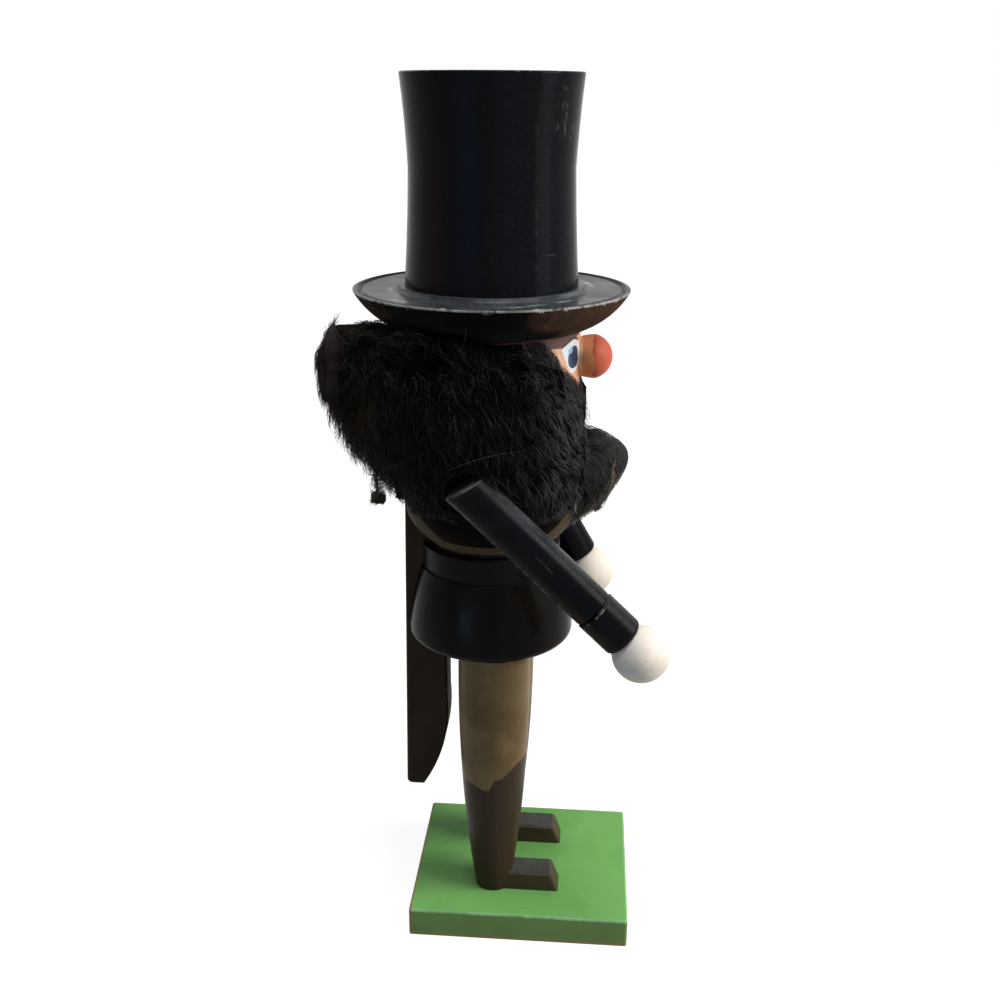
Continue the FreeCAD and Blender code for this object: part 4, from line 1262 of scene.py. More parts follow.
@dataclass
class Hat:
    """The dished brim and the tall crown. Lengths are in millimetres and angles in degrees about the axis.

    Attributes:
        rim: The height of the brim's worn rim.
        edge: The brim's radius where the wear of its rim starts.
        foot: The radius at which the brim rises to the crown.
        painted_glints: Angle, radius and half width in degrees of each painted glint on the brim.
        mottle_angle: The middle of the mottled side of the crown.
        hairline_angle: Where the thin worn line runs up the crown.
        scuff_angle: The middle of the scuffs near the crown's top.
        scratch_angle: The middle of the fine scratches round its lower part.
    """

    rim: float = 295.9
    edge: float = 56.9
    foot: float = 38.6
    painted_glints: tuple[Triple, ...] = ((196.0, 48.0, 9.0), (207.0, 45.5, 6.0), (226.0, 43.5, 7.0), (290.0, 42.5, 12.0),
                                  (138.0, 49.0, 8.0), (100.0, 42.0, 12.0))
    mottle_angle: float = 222.0
    hairline_angle: float = 214.5
    scuff_angle: float = 238.0
    scratch_angle: float = 224.0

    def build(self) -> None:
        """Dresses the brim and the crown."""
        # painted highlights on the brim's top: on the fillet at the crown's foot, with dust, and glints along the
        # groove
        top = [Zone(self._foot_dust_and_highlight, srgb(112, 117, 122), 0.1), Zone(self._painted_glints, srgb(176, 182, 186))]
        # painted light and shade under the brim: near-black painted shade, a painted warm reflection in front and
        # behind, and painted light from the face near the brow
        under = [Zone(self._under, srgb(3, 3, 3), 0.75), Zone(self._under_warm_reflection, srgb(76, 56, 44)),
                 Zone(self._under_face_light, srgb(104, 78, 70))]
        finish_node("hat_brim", HAT_LACQUER.brush_on(top + under, self._rim), 24)
        # the two upright streaks of another tint are painted reflections
        crown = [Zone(self._mottle, srgb(36, 41, 48)), Zone(self._hairline, srgb(70, 76, 84)),
                 Zone(self._painted_reflection(144.0, 9.0, 330.0), srgb(34, 18, 13)),
                 Zone(self._painted_reflection(168.0, 8.0, 400.0), srgb(12, 20, 38)),
                 Zone(self._scuffs, srgb(92, 97, 102), 0.3)]
        finish_node("hat_crown", HAT_LACQUER.brush_on(crown, self._crown_edges), 24)

    @staticmethod
    def _painted_reflection(angle: float, half: float, top: float) -> Mask:
        """A painted reflection: a soft upright streak of another tint on the crown.

        Args:
            angle: The streak's middle in degrees about the axis.
            half: Half its width in degrees.
            top: Where it fades out upwards, in millimetres.

        Returns:
            The mask.
        """

        def mask(graph: Graph) -> Socket:
            """The painted reflection, with clouds in it."""
            cloud = graph.fade(graph.noise(46, 3), 0.3, 0.65, 0.35, 0.9)
            return graph.shared(graph.band(graph.turn(), angle, half * 0.3, half),
                                graph.fade(graph.axis("Z"), (top + 40) * MM, top * MM), cloud)

        return mask

    def _mottle(self, graph: Graph) -> Socket:
        """Fine cloudy mottling of the crown's lacquer, strongest on its right front."""
        side = graph.band(graph.turn(), self.mottle_angle, 14.0, 40.0)
        return graph.shared(graph.fade(graph.noise(620, 5, 0.7), 0.45, 0.8, 0, 0.4), graph.fade(side, 0, 1, 0.25, 1.0))

    def _hairline(self, graph: Graph) -> Socket:
        """One thin upright worn line on the crown."""
        return graph.shared(graph.band(graph.turn(), self.hairline_angle, 0.25, 0.7),
                            graph.band(graph.axis("Z"), 335 * MM, 20 * MM, 30 * MM),
                            graph.fade(graph.noise(150, 5, 0.7), 0.45, 0.68, 0.0, 0.5))

    def _foot_dust_and_highlight(self, graph: Graph) -> Socket:
        """The ring where the brim rises to the crown: dust, and a painted highlight on the fillet."""
        ring = graph.band(graph.radius(), self.foot * MM, 0.3 * MM, 1.2 * MM)
        return graph.shared(ring, graph.facing_up(0.1, 0.5), graph.fade(graph.noise(70, 4), 0.3, 0.7, 0.1, 0.6))

    def _painted_glints(self, graph: Graph) -> Socket:
        """Painted glints: short pale highlights along the groove in the brim.

        Args:
            graph: The material under construction.

        Returns:
            The mask of all the painted glints.
        """
        painted_glints = [graph.shared(graph.band(graph.turn(), angle, 0.25 * half, half),
                               graph.band(graph.radius(), across * MM, 0.3 * MM, 1.3 * MM))
                  for angle, across, half in self.painted_glints]
        grain = graph.fade(graph.noise(420, 3), 0.35, 0.65, 0.2, 1)
        return graph.shared(graph.total(*painted_glints), graph.facing_up(0.3, 0.7), grain)

    def _under(self, graph: Graph) -> Socket:
        """The underside of the brim."""
        node = graph.nodes.new("ShaderNodeTexCoord")
        return graph.fade(graph.axis("Z", node.outputs["Normal"]), -0.05, -0.2)

    def _under_warm_reflection(self, graph: Graph) -> Socket:
        """A painted warm reflection on the brim's underside.

        Args:
            graph: The material under construction.

        Returns:
            The mask of its patches in front and behind.
        """
        y = graph.math("ADD", graph.axis("Y"), graph.fade(graph.noise(70, 4), 0.3, 0.7, -6 * MM, 6 * MM))
        ends = graph.total(graph.fade(y, -20 * MM, -31 * MM), graph.fade(y, 38 * MM, 47 * MM, 0, 0.7))
        return graph.shared(self._under(graph), ends, graph.fade(graph.noise(180, 4), 0.25, 0.6, 0.55, 1.0))

    def _under_face_light(self, graph: Graph) -> Socket:
        """Painted light from the face: a lighter ring under the brim where it meets the brow."""
        near = graph.fade(graph.radius(), 41.5 * MM, 40.5 * MM)
        return graph.shared(self._under(graph), near, graph.fade(graph.axis("Y"), -14 * MM, -20 * MM))

    def _rim(self, graph: Graph) -> Socket:
        """The thin chipped line round the rim, with a few gaps.

        Args:
            graph: The material under construction.

        Returns:
            The mask of the wear.
        """
        radius, height = graph.radius(), graph.axis("Z")
        edge = graph.shared(graph.fade(radius, self.edge * MM, (self.edge + 0.4) * MM),
                            graph.band(height, self.rim * MM, 0.22 * MM, 0.3 * MM))
        chips = graph.shared(graph.fade(radius, (self.edge - 0.9) * MM, (self.edge - 0.4) * MM),
                             graph.fade(graph.noise(260, 5, 0.6), 0.6, 0.64),
                             graph.fade(height, (self.rim - 1.3) * MM, (self.rim - 0.7) * MM))
        gaps = graph.fade(graph.noise(34, 3), 0.4, 0.54, 0.35, 1.0)
        ragged = graph.fade(graph.noise(380, 4, 0.6), 0.34, 0.54)
        return graph.total(graph.shared(edge, gaps, ragged), chips)

    def _scuffs(self, graph: Graph) -> Socket:
        """Dull scuffs near the crown's upper front and a few fine scratches round its lower part.

        Args:
            graph: The material under construction.

        Returns:
            The mask of both.
        """
        angle = graph.turn()
        place = graph.shared(graph.band(angle, self.scuff_angle, 7.0, 7.0),
                             graph.band(graph.axis("Z"), 365 * MM, 6 * MM, 5 * MM))
        smear = graph.fade(graph.noise(420, 4, 0.6, graph.stretched((1.0, 1.0, 0.4))), 0.56, 0.7, 0, 0.8)
        low = graph.shared(graph.band(angle, self.scratch_angle, 10.0, 10.0),
                           graph.band(graph.axis("Z"), 311.5 * MM, 3 * MM, 3 * MM))
        lines = graph.fade(graph.noise(900, 2, 0.5, graph.stretched((0.05, 0.05, 1.0))), 0.66, 0.72, 0, 0.5)
        return graph.total(graph.shared(place, smear), graph.shared(low, lines))

    def _crown_edges(self, graph: Graph) -> Socket:
        """Light wear on the crown's upper edge.

        Args:
            graph: The material under construction.

        Returns:
            The mask of the wear.
        """
        top = graph.fade(graph.axis("Z"), 379.3 * MM, 379.9 * MM)
        outer = graph.fade(graph.radius(), 35.8 * MM, 36.4 * MM)
        return graph.shared(top, outer, graph.fade(graph.noise(300, 4, 0.6), 0.55, 0.68, 0, 0.4))


@dataclass(frozen=True)
class Habit:
    """How one kind of hair grows. Every pair gives the least and the most.

    Attributes:
        length: Its length in millimetres.
        thickness: Its radius in millimetres.
        lift: How far it stands off the hide at its root.
        curl: The radius of its waves in millimetres.
        turns: How many waves it has.
        stray: How much it leaves its neighbours' way.
    """

    length: Pair
    thickness: Pair
    lift: Pair
    curl: Pair
    turns: Pair
    stray: float


COAT_HAIR = Habit((9, 17), (0.09, 0.15), (0.1, 0.5), (0.4, 1.1), (0.5, 1.7), 0.38)
GUARD_HAIR = Habit((6, 18), (0.06, 0.09), (0.2, 0.6), (0.3, 1.3), (0.3, 1.2), 0.5)
CURLY_HAIR = Habit((6, 11), (0.08, 0.12), (0.4, 0.9), (1.0, 1.9), (0.9, 2.0), 0.7)
CHEEK_HAIR = Habit((5, 11), (0.06, 0.10), (0.1, 0.35), (0.2, 0.6), (0.4, 1.2), 0.3)
BEARD_HAIR = Habit((5, 11), (0.07, 0.11), (0.1, 0.4), (0.3, 0.8), (0.5, 1.4), 0.3)
FRINGE_HAIR = Habit((8, 15), (0.08, 0.13), (0.0, 0.3), (0.3, 0.9), (0.5, 1.4), 0.3)
FLUFF_HAIR = Habit((4, 8), (0.1, 0.16), (0.2, 0.9), (1.0, 2.2), (0.8, 1.8), 0.9)


@dataclass
class Strand:
    """One hair.

    Attributes:
        points: Its points from root to tip.
        thickness: Its radius at the root.
    """

    points: list[Vector]
    thickness: float


@dataclass
class Tress:
    """Many strands of one kind, handed over in pieces that aren't too large.

    Attributes:
        name: The first piece's name. The others add a number.
        body: The body that it rides on.
        material: The hair's colour.
        strands: The strands.
        most: How many strands a piece may have.
        taper: How much a strand thins to its tip, and how late.
    """

    name: str
    body: str
    material: bpy.types.Material
    strands: list[Strand] = field(default_factory=list)
    most: int = 5000
    taper: Pair = (0.88, 2.4)

    def hand_over(self) -> None:
        """Hands the strands over, in several pieces where there are many."""
        for number, start in enumerate(range(0, len(self.strands), self.most), 1):
            name = self.name if number == 1 else f"{self.name}_{number}"
            hand_over(self._piece(name, self.strands[start:start + self.most]), self.body, "fur")

    def _piece(self, name: str, strands: list[Strand]) -> bpy.types.Object:
        """Draws strands as thin three-sided closed threads.

        Args:
            name: The piece's name.
            strands: The strands that go into it.

        Returns:
            One mesh object with all of them.
        """
        outline = self._section()
        threads = bpy.data.curves.new(name, "CURVE")
        threads.dimensions = "3D"
        threads.bevel_mode = "OBJECT"
        threads.bevel_object = outline
        threads.use_fill_caps = True
        thinning, delay = self.taper
        for strand in strands:
            spline = threads.splines.new("POLY")
            last = len(strand.points) - 1
            spline.points.add(last)
            for index, (point, place) in enumerate(zip(spline.points, strand.points)):
                point.co = (*place, 1)
                point.radius = strand.thickness * (1 - thinning * (index / last) ** delay)
        line = bpy.data.objects.new(name, threads)
        bpy.context.scene.collection.objects.link(line)
        bpy.context.view_layer.update()
        data = bpy.data.meshes.new_from_object(line.evaluated_get(bpy.context.evaluated_depsgraph_get()))
        bpy.data.objects.remove(line)
        bpy.data.objects.remove(outline)
        mesh = bmesh.new()
        mesh.from_mesh(data)
        bpy.data.meshes.remove(data)
        bmesh.ops.remove_doubles(mesh, verts=mesh.verts, dist=0.001 * MM)
        bmesh.ops.recalc_face_normals(mesh, faces=mesh.faces)
        return finish_mesh(mesh, name, self.material, SMOOTH)

    @staticmethod
    def _section() -> bpy.types.Object:
        """The three-cornered outline that is drawn along a strand.

        Returns:
            A curve object in the scene, which the caller removes.
        """
        section = bpy.data.curves.new("section", "CURVE")
        corners = section.splines.new("POLY")
        corners.points.add(2)
        for index, point in enumerate(corners.points):
            angle = math.tau * index / 3
            point.co = (math.cos(angle), math.sin(angle), 0, 1)
        corners.use_cyclic_u = True
        outline = bpy.data.objects.new("section", section)
        bpy.context.scene.collection.objects.link(outline)
        return outline


def between(steps: Curve, where: float) -> float:
    """The value of a curve given by its corners, held level beyond both ends.

    Args:
        steps: Pairs of place and value, with rising places.
        where: The place.

    Returns:
        The value there.
    """
    low = steps[0]
    for high in steps:
        if where < high[0]:
            share = max(0.0, where - low[0]) / max(high[0] - low[0], 1e-6)
            return low[1] + (high[1] - low[1]) * share
        low = high
    return low[1]


PIVOT = mm(0, 3, 213)


@dataclass
class Cover:
    """Keeps strands close to the CAD fur and off the hard pieces. All sizes are in millimetres.

    Attributes:
        node: The CAD fur.
        reach: How far a strand may stand off its surface.
        gap: Room that stays free of strands.
        brim_floor: Distance from the axis and height of the brim's underside.
        body: Height and radius of the skirt, the belt, the chest and the head.
        arms: A point on each arm's axis, and how far the arm points down in degrees.
        arm_radius: The arms' radius with some room.
        travel: The jaw's travel in degrees.
        fur: The surface of the CAD fur.
    """

    node: str
    reach: float
    gap: float = 0.5
    brim_floor: Curve = ((37.5, 280.0), (42.0, 281.5), (46.0, 283.7), (50.0, 286.5), (53.0, 289.3), (55.5, 292.3),
                         (57.6, 295.5))
    body: Curve = ((139.0, 37.4), (173.4, 31.8), (173.5, 31.0), (185.4, 31.0), (185.5, 28.2), (186.5, 28.2),
                   (189.0, 31.5), (193.0, 34.8), (198.0, 37.2), (205.0, 38.2), (247.0, 38.2), (247.1, 37.6),
                   (280.0, 37.6))
    arms: tuple[tuple[float, float, float, float], ...] = ((-47.2, 6.0, 223.0, 44.0), (47.2, 6.0, 237.0, 60.0))
    arm_radius: float = 9.6
    travel: int = 20
    fur: BVHTree = field(init=False)

    def __post_init__(self) -> None:
        """Takes the shape of the CAD fur."""
        mesh = merged_copy(self.node)
        self.fur = BVHTree.FromBMesh(mesh)
        mesh.free()

    def hold(self, place: Vector) -> Vector:
        """Brings a point back to the fur and off the hard pieces.

        Args:
            place: The point.

        Returns:
            The nearest place for it.
        """
        near, normal, _, away = self.fur.find_nearest(place)
        reach = self.reach * MM
        if away > reach and (place - near).dot(normal) > 0:
            place = near + (place - near) * (reach / away)
        return self.clear(place)

    def clear_swing(self, place: Vector) -> Vector:
        """Brings a point that moves with the jaw off the hard pieces, over the whole of the jaw's travel.

        Args:
            place: The point at rest.

        Returns:
            Its new place at rest.
        """
        for turn in range(0, self.travel + 1, 4):
            swing = Matrix.Rotation(math.radians(turn), 3, "X")
            place = PIVOT + swing.transposed() @ (self.clear(PIVOT + swing @ (place - PIVOT)) - PIVOT)
        return place

    def clear(self, place: Vector) -> Vector:
        """Brings a point off the hard pieces.

        Args:
            place: The point.

        Returns:
            Its place outside them.
        """
        x, y, z = place / MM
        flat = math.hypot(x, y)
        least = between(self.body, z) + self.gap
        if flat < least:
            x, y, flat = x * least / flat, y * least / flat, least
        if flat < self.brim_floor[-1][0]:
            z = min(z, between(self.brim_floor, flat) - self.gap)
        for arm_x, arm_y, arm_z, slope in self.arms:
            down = math.radians(slope)
            ahead = max(0.0, (arm_y - y) * math.cos(down) + (arm_z - z) * math.sin(down))
            off = Vector((x - arm_x, y - arm_y + ahead * math.cos(down), z - arm_z + ahead * math.sin(down)))
            if off.length < self.arm_radius:
                x, y, z = Vector((x, y, z)) + off.normalized() * (self.arm_radius - off.length)
        return mm(x, y, z)


POINTS_ON_STRAND = 7
ROOT_DEPTH = 0.8

Lie = Callable[[Vector, Vector], Vector]
Hold = Callable[[Vector], Vector]


def grow(root: Vector, normal: Vector, habit: Habit, way: Lie, hold: Hold, dice: random.Random) -> Strand:
    """Grows one strand.

    Args:
        root: Where it leaves the hide. It starts a little deeper.
        normal: The hide's outward normal there.
        habit: The kind of hair.
        way: Gives the lie of the fur at a place with a normal.
        hold: Brings a point back to where strands may be.
        dice: The seeded source of chance.

    Returns:
        The finished strand.
    """
    last = POINTS_ON_STRAND - 1
    step = dice.uniform(*habit.length) * MM / last
    lift = dice.uniform(*habit.lift)
    curl = dice.uniform(*habit.curl) * MM
    turns = dice.uniform(*habit.turns) * math.tau
    phase = dice.uniform(0, math.tau)
    stray = Vector((dice.uniform(-1, 1), dice.uniform(-1, 1), dice.uniform(-1, 1))) * habit.stray
    place = root - normal * ROOT_DEPTH * MM
    points = [place]
    for index in range(1, POINTS_ON_STRAND):
        share = index / last
        heading = (way(place, normal) + stray * (0.4 + share) + normal * lift * (1 - 1.1 * share)).normalized()
        across = heading.cross(normal).normalized()
        place = hold(place + heading * step)
        angle = phase + turns * share
        wave = (across * math.cos(angle) + across.cross(heading) * math.sin(angle)) * curl * share
        points.append(hold(place + wave))
    return Strand(points, dice.uniform(*habit.thickness) * MM)


def scatter(faces: list[bmesh.types.BMFace], count: int, dice: random.Random) -> Iterator[tuple[Vector, Vector]]:
    """Scatters roots evenly over faces.

    Args:
        faces: Triangles, or faces whose first three corners stand for them.
        count: How many roots.
        dice: The seeded source of chance.

    Yields:
        Each root's place and the outward normal there.
    """
    for face in dice.choices(faces, [face.calc_area() for face in faces], k=count):
        first, second = sorted((dice.random(), dice.random()))
        a, b, c = (corner.vert.co for corner in list(face.loops)[:3])
        yield a * first + b * (second - first) + c * (1 - second), face.normal.copy()


@dataclass
class Pelt:
    """The fur round the head: a dark underfur shell with thousands of strands on it. All sizes are in millimetres.

    Attributes:
        seed: Fixes every chance.
        strands: How many roots are tried.
        temple_strands: How many more are tried beside the eyes.
        stubble: How many short hairs the bare hide has.
        tuft: How many hairs the loose tuft has.
        inner: The least distance of the underfur from the axis.
        depth: How far the underfur lies under the CAD fur's surface, and how much deeper low at the back.
        front_edge: Height and Y of the fur's edge beside the face.
        edge_slant: How much lower that edge lies further from the middle.
        temple_edge: Height and Y of the edge of the short fur that lies on the head.
        temple_turn: The angles from the front between which that fur grows, in degrees.
        temple_rise: The heights between which it grows.
        temple_radius: The distance from the axis of its roots, and the most that its hairs may have.
        foot: The fur's lower edge in front and behind.
        lever_room: Height and Y up to which the moving lever needs room.
        lever_half_room: Half the width of that room.
        back_edge: Height and Y of the fur's edge at the back.
        back_top: Y and height of the fur's upper edge behind the brim, near the middle.
        flap_turn: The angles about the axis between which the bare hide shows, in degrees.
        flap_rise: The lowest and highest point of the bare hide.
        flap_grid: How many faces the bare hide has across and upwards.
        flap_thickness: Its thickness.
        long_stray: Y and height of the long pale hair's points.
        wavy_stray: Y and height of the wavy pale hair's points.
    """

    seed: int = 7
    strands: int = 25000
    temple_strands: int = 8000
    stubble: int = 1500
    tuft: int = 300
    inner: float = 39.0
    depth: Pair = (2.4, 3.0)
    front_edge: Curve = ((234.0, -43.7), (238.0, -42.0), (246.0, -40.2), (256.4, -39.3), (262.0, -34.7),
                         (268.0, -29.7), (273.0, -26.5), (277.0, -23.5), (280.0, -20.0), (284.0, -18.0))
    edge_slant: float = 0.22
    temple_edge: Curve = ((256.0, -38.3), (259.3, -37.4), (262.9, -35.4), (265.5, -33.2), (268.7, -30.9),
                          (271.8, -29.6), (275.5, -27.6), (278.4, -24.8), (281.4, -21.0))
    temple_turn: Pair = (10.0, 66.0)
    temple_rise: Pair = (246.0, 281.0)
    temple_radius: Pair = (38.4, 39.5)
    foot: Pair = (203.8, 206.2)
    lever_room: Curve = ((199.0, 47.5), (206.0, 43.6), (213.0, 40.8), (220.0, 39.0), (244.0, 38.6), (245.0, 0.0))
    lever_half_room: float = 8.9
    back_edge: Curve = ((206.7, 39.4), (209.3, 47.4), (215.1, 53.5), (220.1, 57.8), (225.0, 63.0), (232.3, 65.0),
                        (240.9, 67.0), (247.6, 68.3), (249.5, 75.5))
    back_top: Curve = ((14.0, 296.0), (36.0, 283.0), (49.7, 282.6), (54.8, 281.8), (67.6, 281.2), (71.5, 279.0),
                       (72.8, 273.3), (75.0, 262.0))
    flap_turn: Pair = (84.0, 120.0)
    flap_rise: Pair = (249.0, 281.0)
    flap_grid: tuple[int, int] = (14, 12)
    flap_thickness: float = 1.2
    long_stray: Curve = ((12.3, 232.4), (5.2, 235.5), (-1.9, 238.1), (-8.9, 239.8), (-13.6, 240.5), (-17.9, 241.0))
    wavy_stray: Curve = ((6.9, 293.6), (6.4, 290.2), (5.1, 287.2), (5.9, 284.2), (6.6, 281.5))

    def build(self) -> None:
        """Builds the shell and grows the strands."""
        dice = random.Random(self.seed)
        cover = Cover("hair", 1.2)
        shell = self._shell()
        hand_over(finish_mesh(shell.copy(), "hair_underfur", UNDERFUR.dye(), SMOOTH), FIGURE, "fur", "hair")
        dyes = {"coat": LONG_FUR.dye(), "guard": GUARD_FUR.dye(), "fine": CHEEK_FUR.dye()}
        tresses: dict[str, Tress] = {}
        for root, normal in scatter(self._outer(shell), self.strands, dice):
            jitter = dice.uniform(-0.9, 0.9)
            if root.y < (self._front(root) + 0.6 + jitter) * MM:
                continue
            kind, habit = self._habit(root, dice)
            if self._on_flap(root):
                continue
            name = f"hair_{kind}_{self._region(root)}"
            tress = tresses.setdefault(name, Tress(name, FIGURE, dyes[kind]))

            def hold(place: Vector) -> Vector:
                """Keeps a strand to the fur and within its edges."""
                return self._within(cover.hold(place), jitter)

            tress.strands.append(grow(root, normal, habit, self._way, hold, dice))
        shell.free()
        self._temples(cover, tresses, dice)
        for tress in tresses.values():
            tress.hand_over()
        self._flap(cover, dice)
        self._loose(dice)

    def _within(self, place: Vector, jitter: float) -> Vector:
        """Keeps a point within the fur's edges and out of the lever's way.

        Args:
            place: The point.
            jitter: How ragged the edges are for its strand.

        Returns:
            The point, moved where it had to be.
        """
        place.y = max(place.y, (self._front(place) + jitter) * MM)
        front, back = self.foot
        foot = front + (back - front) * min(1.0, max(0.0, place.y / (15 * MM))) + jitter
        place.z = max(place.z, foot * MM)
        place.z = min(place.z, (self._top(place) + 0.7 * jitter) * MM)
        place.y = min(place.y, (between(self.back_edge, place.z / MM) + 0.7 * jitter) * MM)
        room = self.lever_half_room * MM
        if abs(place.x) < room and 0 < place.y < between(self.lever_room, place.z / MM) * MM:
            place.x = math.copysign(room, place.x)
        return place

    def _temples(self, cover: Cover, tresses: dict[str, Tress], dice: random.Random) -> None:
        """Lays fur close to the head between the pelt and the edge beside the eyes.

        Args:
            cover: Keeps the strands off the head.
            tresses: The strands by name.
            dice: The seeded source of chance.
        """
        deep, shallow = self.temple_radius
        for _ in range(self.temple_strands):
            sign = dice.choice((-1, 1))
            angle = math.radians(dice.uniform(*self.temple_turn))
            height = dice.uniform(*self.temple_rise)
            normal = Vector((sign * math.sin(angle), -math.cos(angle), 0))
            root = normal * deep * MM + Vector((0, 0, height * MM))
            jitter = dice.uniform(-0.4, 1.2)
            if root.y < (between(self.temple_edge, root.z / MM) + jitter) * MM:
                continue

            def hold(place: Vector) -> Vector:
                """Keeps a strand close to the head and behind the face's edge.

                Args:
                    place: A point of the strand.

                Returns:
                    The point, moved where it had to be.
                """
                place = cover.clear(place)
                flat, most = math.hypot(place.x, place.y), (shallow + jitter) * MM
                if flat > most:
                    place = Vector((place.x * most / flat, place.y * most / flat, place.z))
                place.y = max(place.y, (between(self.temple_edge, place.z / MM) - 0.8 + jitter) * MM)
                return place

            kind = "fine" if dice.random() < 0.4 else "coat"
            name = f"hair_{kind}_cheek_{'right' if sign < 0 else 'left'}"
            way = Vector((-0.3 * sign, -0.3, -0.9)) + noise.noise_vector(root * 120) * 0.5
            tresses[name].strands.append(grow(root, normal, CHEEK_HAIR, lambda place, outward: way, hold, dice))

    def _habit(self, root: Vector, dice: random.Random) -> tuple[str, Habit]:
        """Chooses the kind of hair for a root: curls under the brim, fine hair at the cheeks.

        Args:
            root: Where the hair grows.
            dice: The seeded source of chance.

        Returns:
            The name of its dye and the way that it grows.
        """
        chance = dice.random()
        if root.z > 266 * MM and chance < 0.65:
            return ("guard" if dice.random() < 0.22 else "coat"), CURLY_HAIR
        if root.y < dice.uniform(-26, -12) * MM:
            return ("guard" if chance < 0.06 else "fine"), CHEEK_HAIR
        pale = 0.13 if -16 * MM < root.y < 26 * MM else 0.08
        return ("guard", GUARD_HAIR) if chance > 1 - pale else ("coat", COAT_HAIR)

    def _top(self, place: Vector) -> float:
        """The fur's upper edge behind the brim, which falls towards the left side.

        Args:
            place: A point under it.

        Returns:
            The edge's height in millimetres.
        """
        x, y, _ = place / MM
        fall = 0.36 * min(36.0, max(0.0, x + 6)) * min(1.0, max(0.0, (y - 12) / 28))
        return between(self.back_top, y) - fall

    def _region(self, root: Vector) -> str:
        """The part of the fur that a root lies in."""
        part = "back" if root.y > 34 * MM else ("cheek" if root.y < -2 * MM else "side")
        return f"{part}_{'right' if root.x < 0 else 'left'}"

    def _front(self, place: Vector) -> float:
        """The Y in millimetres of the fur's edge beside the face at a place's height."""
        return between(self.front_edge, place.z / MM - self.edge_slant * (abs(place.x) / MM - 24))

    def _on_flap(self, place: Vector) -> bool:
        """Whether the bare hide shows at a place.

        Args:
            place: The place.

        Returns:
            True on the flap, a little within its edges.
        """
        turn = math.degrees(math.atan2(place.y, place.x))
        first, last = self.flap_turn
        return first + 2 < turn < last - 2 and self._flap_foot(turn) + 1 < place.z / MM < self.flap_rise[1]

    def _flap_foot(self, turn: float) -> float:
        """The height in millimetres of the bare hide's lower edge at an angle in degrees."""
        first, last = self.flap_turn
        return self.flap_rise[0] + 9.0 * max(0.0, min(1.0, (turn - first) / (last - first)))

    def _flap(self, cover: Cover, dice: random.Random) -> None:
        """The thin flap of hide at the back, laid over the fur's surface, with short hair left on it.

        Args:
            cover: Gives the fur's surface.
            dice: The seeded source of chance.
        """
        mesh = bmesh.new()
        first, last = self.flap_turn
        across, tall = self.flap_grid
        bmesh.ops.create_grid(mesh, x_segments=across, y_segments=tall, size=0.5)
        for vertex in mesh.verts:
            share, rise = vertex.co.x + 0.5, vertex.co.y + 0.5
            bulge = 4 * rise * (1 - rise)
            ragged = 4 * noise.noise(Vector((rise * 3.5, 9 * round(share), 8))) * (2 * share - 1) ** 2
            turn = math.radians(first + (last - first) * share - 1.5 * (share - 0.5) * bulge * 2 + ragged)
            low = self._flap_foot(math.degrees(turn))
            height = (low + (self.flap_rise[1] - 3.0 * (1 - 4 * share * (1 - share)) - low) * rise) * MM
            outward = Vector((math.cos(turn), math.sin(turn), 0))
            hit, normal, _, _ = cover.fur.ray_cast(Vector((0, 0, height)) + outward * 0.11, -outward)
            wave = noise.noise(Vector((turn * 7, height * 110, 3.0)))
            vertex.co = hit + normal * (0.7 * wave - 0.5) * MM
            vertex.co.z = min(vertex.co.z, (self._top(vertex.co) - 0.5) * MM)
            if rise < 0.01:
                vertex.co.z -= 3.5 * max(0.0, noise.noise(Vector((turn * 14, 5.0, 1.0)))) * MM
        mesh.normal_update()
        self._stubble(mesh, cover, dice)
        lower = bmesh.ops.extrude_face_region(mesh, geom=mesh.faces[:])
        for vertex in (part for part in lower["geom"] if isinstance(part, bmesh.types.BMVert)):
            vertex.co -= Vector((vertex.co.x, vertex.co.y, 0)).normalized() * self.flap_thickness * MM
        bmesh.ops.recalc_face_normals(mesh, faces=mesh.faces)
        hand_over(finish_mesh(mesh, "hide_flap", HIDE.dye(), 60), FIGURE, "fur")

    def _stubble(self, hide: bmesh.types.BMesh, cover: Cover, dice: random.Random) -> None:
        """Grows the short hair that is left on the bare hide.

        Args:
            hide: The outer face of the hide.
            cover: Keeps the strands to the fur.
            dice: The seeded source of chance.
        """
        stubble = Tress("hide_stubble", FIGURE, FLAP_FUR.dye())
        lies = [face for face in hide.faces if face.calc_area() > LEAST_AREA]
        for root, normal in scatter(lies, self.stubble, dice):
            if normal.dot(Vector((root.x, root.y, 0))) < 0:
                normal = -normal
            stubble.strands.append(grow(root, normal, CHEEK_HAIR, self._way, cover.hold, dice))
        stubble.hand_over()

    def _loose(self, dice: random.Random) -> None:
        """Adds the tuft that dangles below the back and the two pale hairs at the side.

        Args:
            dice: The seeded source of chance.
        """
        tuft = Tress("hair_tuft", FIGURE, TUFT_FUR.dye())
        for _ in range(self.tuft):
            share = dice.random()
            low = share if dice.random() < 0.25 else 1.0
            start = mm(-13 + dice.uniform(-1.2, 1.2), 49.4 - 1.2 * low + dice.uniform(-2.6, 2.4) * low ** 3,
                       217.5 - 9.5 * low + dice.uniform(-3.4, 1.5) * low ** 3)
            outward = Vector((dice.uniform(-1, 0.4), dice.uniform(-1, 1), dice.uniform(-0.6, 0.6))).normalized()
            tuft.strands.append(grow(start, outward, FLUFF_HAIR, lambda place, normal: Vector((0, -0.1, -0.8)),
                                     self._off_lever, dice))
        tuft.hand_over()
        stray = Tress("hair_strays", FIGURE, FRINGE_FUR.dye())
        for places, x in ((self.long_stray, -52.5), (self.wavy_stray, -52.0)):
            stray.strands.append(Strand([mm(x, y, z) for y, z in places], 0.09 * MM))
        stray.hand_over()

    @staticmethod
    def _off_lever(place: Vector) -> Vector:
        """Keeps the loose tuft beside the lever and together."""
        return Vector((min(place.x, -9.5 * MM), min(max(place.y, 45.2 * MM), 51.4 * MM), max(place.z, 204 * MM)))

